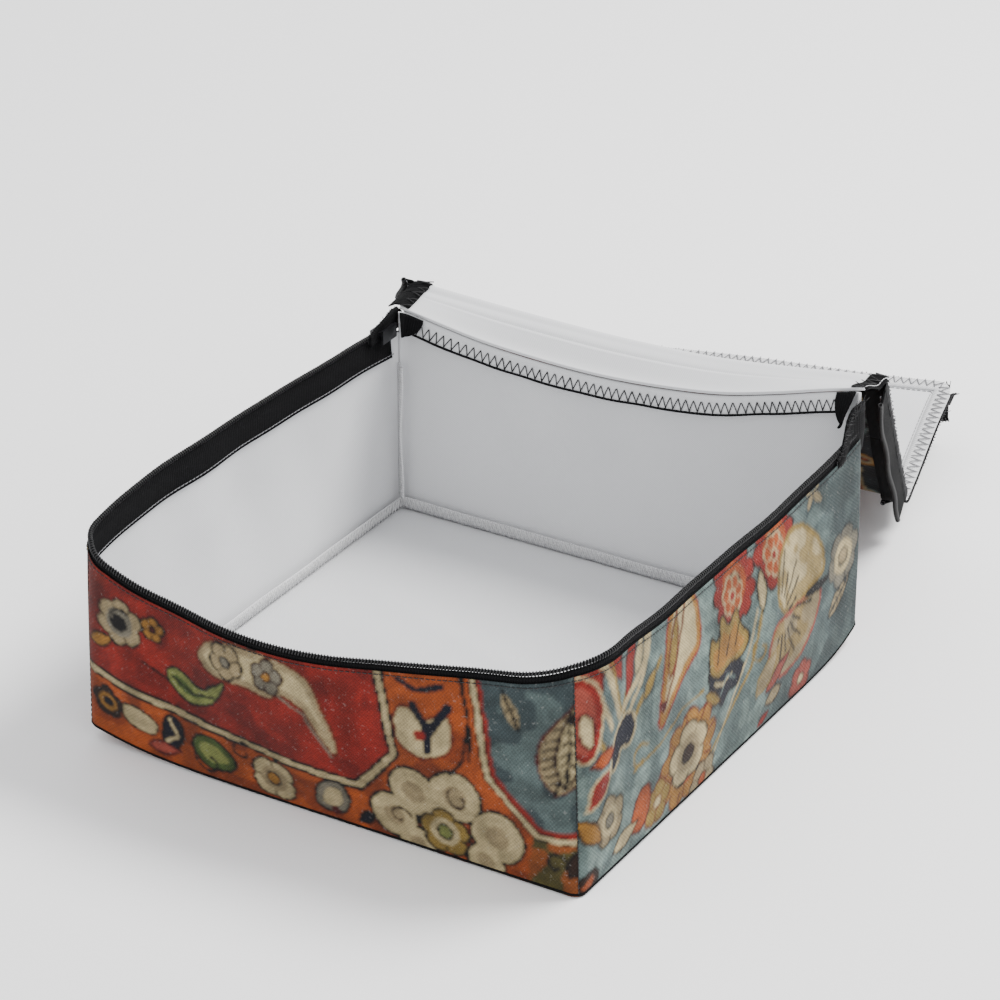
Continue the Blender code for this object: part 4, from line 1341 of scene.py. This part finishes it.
def ridgeLift(x, r):
    # the cloth sags along the ridge between its two stiffer ends
    ridge = smoothCurve(125.0 - np.clip(x, -125, 125), (0, 12, 47, 88, 130, 190, 250),
        (2.0, 1.0, -4.0, -9.0, -11.0, -11.0, -9.5))
    return ridge * (1 - rise3((r - 20) / 85.0)) + lidValues["farRise"] * rise3((r - 168.0) / 60.0)


def lidEnd(x):
    v = lidValues
    over = np.clip(np.abs(x) - (v["halfWidth"] - v["cornerRadius"]), 0, v["cornerRadius"])
    return v["reach"] - (v["cornerRadius"] - np.sqrt(np.maximum(v["cornerRadius"] ** 2 - over**2, 0)))


def lidPoint(x, r, below=0.0):
    # x across and r back from the hinge, in mm along the cloth; below is measured towards the lining side
    v = lidValues
    x, r, below = np.broadcast_arrays(np.asarray(x, float), np.asarray(r, float), np.asarray(below, float))
    far = r > v["firstFold"]
    t = r + np.where(far, wedge(x), 0.0)
    edge = np.clip(np.minimum(v["halfWidth"] - np.abs(x), lidEnd(x) - t) / 26.0, 0, 1)
    share = rise3((r - 26) / 30)
    soft = (4.5 * (softNoise(x, r, 62, 61) - 0.5) + 2.2 * (softNoise(x + r * 0.4, r, 27, 62) - 0.5)) * edge * share
    soft = soft + 1.6 * np.sin((x + 0.35 * r) / 21.0) * rise3((r - 30) / 50) * (0.3 + 0.7 * edge)
    gather = 1.1 * np.clip(wedge(x) / 46.7, 0,
        1) * 0.7 * np.sin((r - v["firstFold"]) * 2 * math.pi / 7.0) * np.exp(-(((r - v["firstFold"]) / 8.0) ** 2))
    z = v["height"] - below + soft + gather
    shut = np.stack([x, 127.4 - t, z], -1) * mm
    points = np.where(far[..., None], moved(flatMiddle, shut), moved(toRear, shut))
    bend = rise3((r - (v["firstFold"] - 8)) / 18.0)
    points = bendAbout(points, rearPlace, -math.radians(v["bend"]) * bend)
    bend = rise3((r - (v["secondFold"] - 11)) / 22.0)
    points = bendAbout(points, frontPlace, math.radians(jointOf["lid_front"]["range_deg"][1]) * bend)
    # the hinge line follows the top of the back wall, and the ridge is higher to the right
    u = 125.0 - np.clip(x, -125, 125)
    hinge = smoothCurve(u, *rimHeight[2]) - 118.4
    lift = hinge * (1 - rise3(r / 17.0)) + ridgeLift(x, r) * rise3(r / 17.0)
    points[..., 2] += lift * mm
    points[..., 2] = np.maximum(points[..., 2], 0.0016)
    return points


def span(part):
    low, high = lidValues["splits"]
    return {"rear": (0.0, low), "middle": (low, high), "front": (high, None)}[part]


def lidSheet(part, rows, name, nodes):
    v = lidValues
    x = np.linspace(v["halfWidth"], -v["halfWidth"], 190)[:, None]
    low, high = span(part)
    s = np.asarray(rows)[None, :]
    end = (lidEnd(x) - wedge(x)) if high is None else high
    r = low + (end - low) * s + 0 * x
    thickness = np.full((1, r.shape[1], 1), v["thickness"] * mm)
    tuck = part != "rear"
    if tuck:   # the first row slips inside the neighbour's thickness
        r = np.concatenate([r[:, :1] - 1.8, r[:, :1] - 0.2, r[:, 1:]], axis=1)
        thickness = np.full((1, r.shape[1], 1), v["thickness"] * mm)
        thickness[:, :2] = 0.7 * mm
    points = lidPoint(x, r)
    cx, cr = (x[1:] + x[:-1]) / 2, (r[1:, 1:] + r[:-1, :-1]) / 2
    t = cr + np.where(cr > v["firstFold"], wedge(cx), 0)
    knots = printAllOver(125 - cx + 0 * cr, t, 250, 256, "red", 117, 36.0, ("deepSlate", "dark"))
    # both neighbours of a split see the same slopes, so that no line shows between them
    across = lidPoint(x - 0.5, r) - lidPoint(x + 0.5, r)
    along = lidPoint(x, r + 0.5) - lidPoint(x, r - 0.5)
    normals = np.cross(across, along)
    normals /= np.linalg.norm(normals, axis=-1, keepdims=True)
    if tuck:
        points[:, :2] -= normals[:, :2] * 0.25 * mm
    sheet = clothPiece(name, points, thickness, [cloths["printedCloth"], cloths["liningCloth"]], knots, normals)
    if nodes:
        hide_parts(*nodes)
    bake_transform(sheet)
    return sheet


denseMiddle = np.concatenate([np.linspace(0, 0.30, 26), np.linspace(0.32, 1, 40)])
lidSheet("rear", np.linspace(0, 1, 12), "lid_cloth_rear", ("lid_panel_a",))
lidSheet("middle", denseMiddle, "lid_cloth_middle", ("lid_panel_b",))
lidSheet("front", np.linspace(0, 1, 128), "lid_cloth_front", ("lid_panel_c",))


def lidEdge(part, side, inset, reach=None):
    # a line along the lid's edge at an inset: side is "left", "right" or "round" for the whole front
    v = lidValues
    low, high = span(part)
    w = v["halfWidth"] - inset
    if part != "front":
        x = -w if side == "left" else w
        low, high = reach or (low, high)
        r = np.linspace(low, high, int((high - low) / 1.4) + 4)
        return np.full(len(r), x), r
    radius = v["cornerRadius"] - inset
    turnT = v["reach"] - v["cornerRadius"]
    xs, ts = [], []
    startLeft, startRight = low + wedge(-w), low + wedge(w)
    left = np.linspace(startLeft, turnT, 60)
    xs.append(np.full(60, -w)); ts.append(left)
    arc = np.linspace(0, math.pi / 2, 12)[1:]
    cx, ct = v["halfWidth"] - v["cornerRadius"], turnT
    xs.append(-cx - radius * np.cos(arc)); ts.append(ct + radius * np.sin(arc))
    across = np.linspace(-cx, cx, 80)[1:]
    xs.append(across); ts.append(np.full(79, v["reach"] - inset))
    xs.append(cx + radius * np.sin(arc)); ts.append(ct + radius * np.cos(arc))
    right = np.linspace(turnT, startRight, 70)[1:]
    xs.append(np.full(69, w)); ts.append(right)
    x, t = np.concatenate(xs), np.concatenate(ts)
    return x, t - wedge(x)


lidTrimValues = {
    "white": {"inset": (0.2, 3.0, 5.5, 8.2), "below": (2.2, 2.1, 2.1, 2.0)},
    "blackLeft": {"inset": (-7.0, -3.0, 1.0, 5.0), "below": (-0.8, 1.4, 2.4, 2.1)},
    "blackRight": {"inset": (-1.2, 1.5, 4.0, 7.0), "below": (0.2, 2.0, 2.4, 2.1)},
    "thickness": 0.6, "overlock": 4.1, "stitch": 2.7,
}


def lidTrim(part, side, node, reach=None, black=False):
    def edgeLine(part, side, inset, below):
        x, r = lidEdge(part, side, inset, reach)
        return lidPoint(x, r, below)

    v = lidTrimValues
    section = v["black" + side.title() if black else "white"]
    grid = np.stack([edgeLine(part, side, i, k) for i, k in zip(section["inset"], section["below"])], 1)
    lift = edgeLine(part, side, 3.0, 3.1) - edgeLine(part, side, 3.0, 2.1)
    normal = np.cross(np.gradient(grid, axis=0), np.gradient(grid, axis=1))[:, 1]
    if (normal * lift).sum() < 0:
        grid = grid[::-1]
    label = f"lid_seam_{side}_{part}" + ("_end" if black else "")
    strip = clothPiece(label + "_strip", grid, v["thickness"] * mm, [cloths["tapeWeave" if black else "seamTape"]])
    if node:
        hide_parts(node)
    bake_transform(strip)
    line = edgeLine(part, side, 3.3, 2.3)
    rises = edgeLine(part, side, 3.3, 3.3) - line
    along = np.gradient(line, axis=0)
    outward = edgeLine(part, side, 2.3, 2.3) - line
    if (np.cross(rises, along) * outward).sum() < 0:
        line, rises = line[::-1], rises[::-1]
    thread = blackThread if black else greyThread
    loops = repeatAlong(label + "_overlock", line, rises, overlockUnit, v["overlock"], thread, 0.06, 0.06, 41)
    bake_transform(loops)
    if black:
        return
    line = edgeLine(part, side, 9.4, 0.62 + 0.6)
    rises = edgeLine(part, side, 9.4, 2.3) - line
    seam = repeatAlong(label + "_stitches", line, rises, stitchUnit, v["stitch"], greyThread, 0.05, 0.06, 43)
    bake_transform(seam)


for side in ("left", "right"):
    lidTrim("rear", side, f"lid_seam_{side}_a", (0.8, 12.0), True)
    lidTrim("middle", side, None, (12.0, 25.0), True)
    lidTrim("middle", side, f"lid_seam_{side}_b", (25.5, 86.0))
lidTrim("front", "round", "lid_seam_front_c")
print("lid ready")


# the zip's other half along the lid's edge, in five flaps

flapValues = {"high": 117.4, "low": 105.2, "coil": 103.7, "inset": 1.3, "toothPitch": 1.45, "stitch": 2.6,
              "narrow": (0.4, 0.75)}


def shutRing(side, f, height, inset):
    # the lid's outline shut, with its own corner radii
    radii = (12.0, 12.0, 5.0, 5.0)
    f = np.asarray(f, float)
    point, out = outlineAt(side, f, np.full(f.shape, radii[side]), np.full(f.shape, radii[(side + 1) % 4]))
    xy = point - out * inset
    return np.concatenate([xy, np.broadcast_to(height, f.shape)[..., None]], -1) * mm, out


def shareFromHinge(side, distance):
    # the share of a long side at a distance forward from the hinge line
    f = np.linspace(0, 1, 4001)
    point, _ = shutRing(side, f, 0.0, 0.0)
    return float(f[np.argmin(np.abs((0.1274 - point[:, 1]) - distance * mm))])


leftGather = wedge(-lidValues["pivotX"])
flapRuns = {   # side of the case, first and last share along it, and the lid's stretch it is sewn to
    "left_middle": (3, shareFromHinge(3, 24.0 + leftGather), shareFromHinge(3, 161.5 + leftGather), "b"),
    "left_front": (3, shareFromHinge(3, 164.5 + leftGather), 0.995, "c"),
    "front": (0, 0.005, 0.995, "c"),
    "right_front": (1, 0.005, shareFromHinge(1, 164.5), "c"),
    "right_middle": (1, shareFromHinge(1, 154.0), shareFromHinge(1, 24.0), "b"),
}


def flapSag(body, f, side):
    # how far the lid's own edge lies off its flat place, and how much of that the whole flap shares
    point, _ = shutRing(side, f, 0.0, 0.0)
    t = 127.4 - point[:, 1] / mm
    x = point[:, 0] / mm
    lift = ridgeLift(x, t - wedge(x))
    edge = np.stack([0 * lift, 0 * lift, lift * mm], -1)
    return edge, edge * (0.75 if body.endswith("middle") else 0.0)


def lidFlap(name, body, side, f0, f1, tapeNode, coilNode):
    v = flapValues
    toRest = restFromShut(body)
    f = np.linspace(f0, f1, max(12, int(abs(f1 - f0) * sideLength[side] / 2.5)))
    levels = (v["high"], 115.0, 112.0, 109.0, 107.0, v["low"], v["low"] - 0.9)
    wave = 0.45 * np.sin(f * 31.0 + side)
    rows = []
    # the tape starts folded narrow beside the ridge and opens out
    rearEnd = {"left_middle": f0, "right_middle": f1}.get(name)
    full = np.ones(len(f))
    if rearEnd is not None:
        narrow = v["narrow"][0 if side == 3 else 1]
        full = narrow + (1 - narrow) * rise3(np.abs(f - rearEnd) * sideLength[side] / 30.0)
    for k, level in enumerate(levels):
        level = v["high"] - (v["high"] - level) * full
        p, out = shutRing(side, f, level, v["inset"])
        if side == 0:   # the front half hangs lower in the middle, as the case's rim does
            p[:, 2] -= (v["high"] - level) * 0.55 * np.clip(1 - (p[:, 0] / 0.1) ** 2, 0, 1) * mm
        rows.append(p + flat3(out) * (wave * (k / 5.0))[:, None] * mm)
    edgeSag, sag = flapSag(body, f, side)
    grid = moved(toRest, np.stack(rows[::-1], 1)) + sag[:, None, :]
    grid[:, -1] += edgeSag - sag
    middle = np.array([(f0 + f1) / 2])
    start, stop = (moved(toRest, shutRing(side, middle, v["high"] - d,
        v["inset"])[0])[0] + sag.mean(0) for d in (0.7, 2.2))

    def hold(piece):   # the tape and its serged edge are baked in place and put on no body; the cord, teeth and stitches go with the flap's body
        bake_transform(piece)

    tape = clothPiece(f"lid_zip_tape_{name}", grid, 0.8 * mm, [cloths["tapeWeave"]])
    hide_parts(tapeNode)
    hold(tape)
    line, out = shutRing(side, f, v["high"] - (v["high"] - v["coil"]) * full, v["inset"])
    line = line + flat3(out) * wave[:, None] * mm
    if side == 0:
        line[:, 2] -= 13.7 * 0.55 * np.clip(1 - (line[:, 0] / 0.1) ** 2, 0, 1) * mm
    rises = np.tile([0.0, 0.0, -1.0], (len(f), 1)) @ toRest[:3, :3].T
    rest = moved(toRest, line) + sag
    cord = newPiece(f"lid_coil_cord_{name}", tubeMesh(f"lid_coil_cord_{name}", rest, 0.75 * mm, 6,
        cloths["tapeWeave"]))
    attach(cord, body)
    teeth = repeatAlong(f"lid_coil_teeth_{name}", rest, rises, toothUnit, v["toothPitch"], coilNylon, 0.04, 0.03, 51)
    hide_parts(coilNode)
    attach(teeth, body)
    # serged top edge of the tape, and its stitching
    line, out = shutRing(side, f, v["high"] - 0.6, v["inset"] + 0.5)
    inwardRest = -flat3(out) @ toRest[:3, :3].T
    fuzz = repeatAlong(f"lid_tape_overlock_{name}", moved(toRest, line) + edgeSag, inwardRest, zigzagUnit, 2.3,
        blackThread, 0.12, 0.15, 53)
    hold(fuzz)
    line, out = shutRing(side, f, v["high"] - 8.8 * full, v["inset"] - 0.45)
    stitches = repeatAlong(f"lid_tape_stitches_{name}", moved(toRest, line) + sag, flat3(out) @ toRest[:3, :3].T,
        stitchUnit, v["stitch"], greyThread, 0.05, 0.06, 57)
    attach(stitches, body)


underValues = {"edge": 122.8, "beyond": 0.6, "width": 12.0, "gap": 1.3, "lean": 1.2}


def underTape(label, low, high, count):
    # the zip tape of the right edge lies folded under the printed side
    v = underValues
    r = np.linspace(low, high, count)[:, None]
    share = np.linspace(0, 1, 6)[None, :]
    x = v["edge"] + v["beyond"] - (v["width"] + v["beyond"]) * share
    grid = lidPoint(x + 0 * r, r + 0 * x, -v["gap"] - v["lean"] * share)
    strip = clothPiece(f"lid_under_tape_{label}", grid[::-1], 0.8 * mm, [cloths["tapeWeave"]])
    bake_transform(strip)


underTape("middle", 13.0, 86.0, 50)
underTape("lower", 86.0, float(lidEnd(np.array(underValues["edge"])) - wedge(underValues["edge"])) - 1.0, 90)
for name, (side, f0, f1, stretch) in flapRuns.items():
    edgeName = name.split("_")[0] + "_" + stretch
    lidFlap(name, "zip_band_" + name, side, f0, f1, "lid_tape_" + edgeName, "lid_coil_" + edgeName)


# the two ends of the zip tape, beside the hinge

endValues = {"from": 101.6, "to": 126.0, "inset": 1.6, "hairs": 0.9}


def zipEnd(name, side, node, tip):
    v = endValues
    u = np.linspace(0, 1, 16)
    y = v["from"] + (v["to"] - v["from"]) * u
    bottom = 97.0 + 1.0 * u
    top = 103.0 + (tip - 103.0) * np.sin(np.clip(u * 1.35, 0, 1) * math.pi / 2) ** 1.5
    rows = np.linspace(0, 1, 8)
    x = 125.0 - v["inset"]
    bulge = np.sin(rows[None, :] * math.pi) * 0.9 + 0.5 * np.sin(u[:, None] * 9.0)
    z = bottom[:, None] + (top - bottom)[:, None] * rows[None, :]
    grid = np.stack([x + bulge, y[:, None] + 0 * z, z], -1)
    if side == "left":
        grid[..., 0] *= -1
        grid = grid[::-1]
    grid = grid * mm
    strip = clothPiece(f"{name}_tape", grid, 1.4 * mm, [cloths["tapeWeave"]])
    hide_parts(node)
    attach(strip, "case")
    edge = grid[:, -1] if side == "right" else grid[::-1, -1]
    out = np.tile([1.0 if side == "right" else -1.0, 0.0, 0.8], (len(edge), 1))
    if side == "right":   # only this end is frayed
        hairs = repeatAlong(f"{name}_fuzz", edge, out, fuzzUnit, v["hairs"], blackThread, 0.9, 0.35, 61)
        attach(hairs, "case")
    loops = repeatAlong(f"{name}_overlock", edge - np.array([0, 0, 2.4 * mm]),
        np.tile([out[0, 0], 0.0, 0.0], (len(edge), 1)), zigzagUnit, 1.6, blackThread, 0.12, 0.15, 63)
    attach(loops, "case")


tabValues = {"left": {"width": 15.0, "drop": 11.0}, "right": {"width": 13.0, "drop": 17.0}}


def endTab(side):
    # the tape's folded end, sewn down inside over the corner of the hinge seam
    v = tabValues[side]
    a = np.linspace(0.3, v["width"], 18)
    p, out = casePoint(2, a / 250 if side == "right" else 1 - a / 250, np.full(18, 99.4), 3.0)
    drop = v["drop"] * np.sqrt(1 - (a / (v["width"] + 0.3)) ** 2)
    across = np.array([0.0, 0.0, -1.0]) - 0.44 * flat3(out)
    grid = p[:, None] + across[:, None] * (drop[:, None] * np.linspace(0, 1, 9))[..., None] * mm
    if (gridNormals(grid)[:, 4] * flat3(out)).sum() > 0:
        grid = grid[::-1]
    tab = clothPiece(f"zip_end_tab_{side}", grid, 0.8 * mm, [cloths["tapeWeave"]])
    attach(tab, "case")


endTab("left")
endTab("right")
zipEnd("zip_end_left", "left", "zip_end_left", 109.0)
zipEnd("zip_end_right", "right", "zip_end_right", 121.5)
for nodeName in ("slider_body", "slider_bridge", "pull_tab"):
    node = frame["nodes"][nodeName]
    node.data.materials.clear()
    node.data.materials.append(sliderPaint)
print("zip ready")
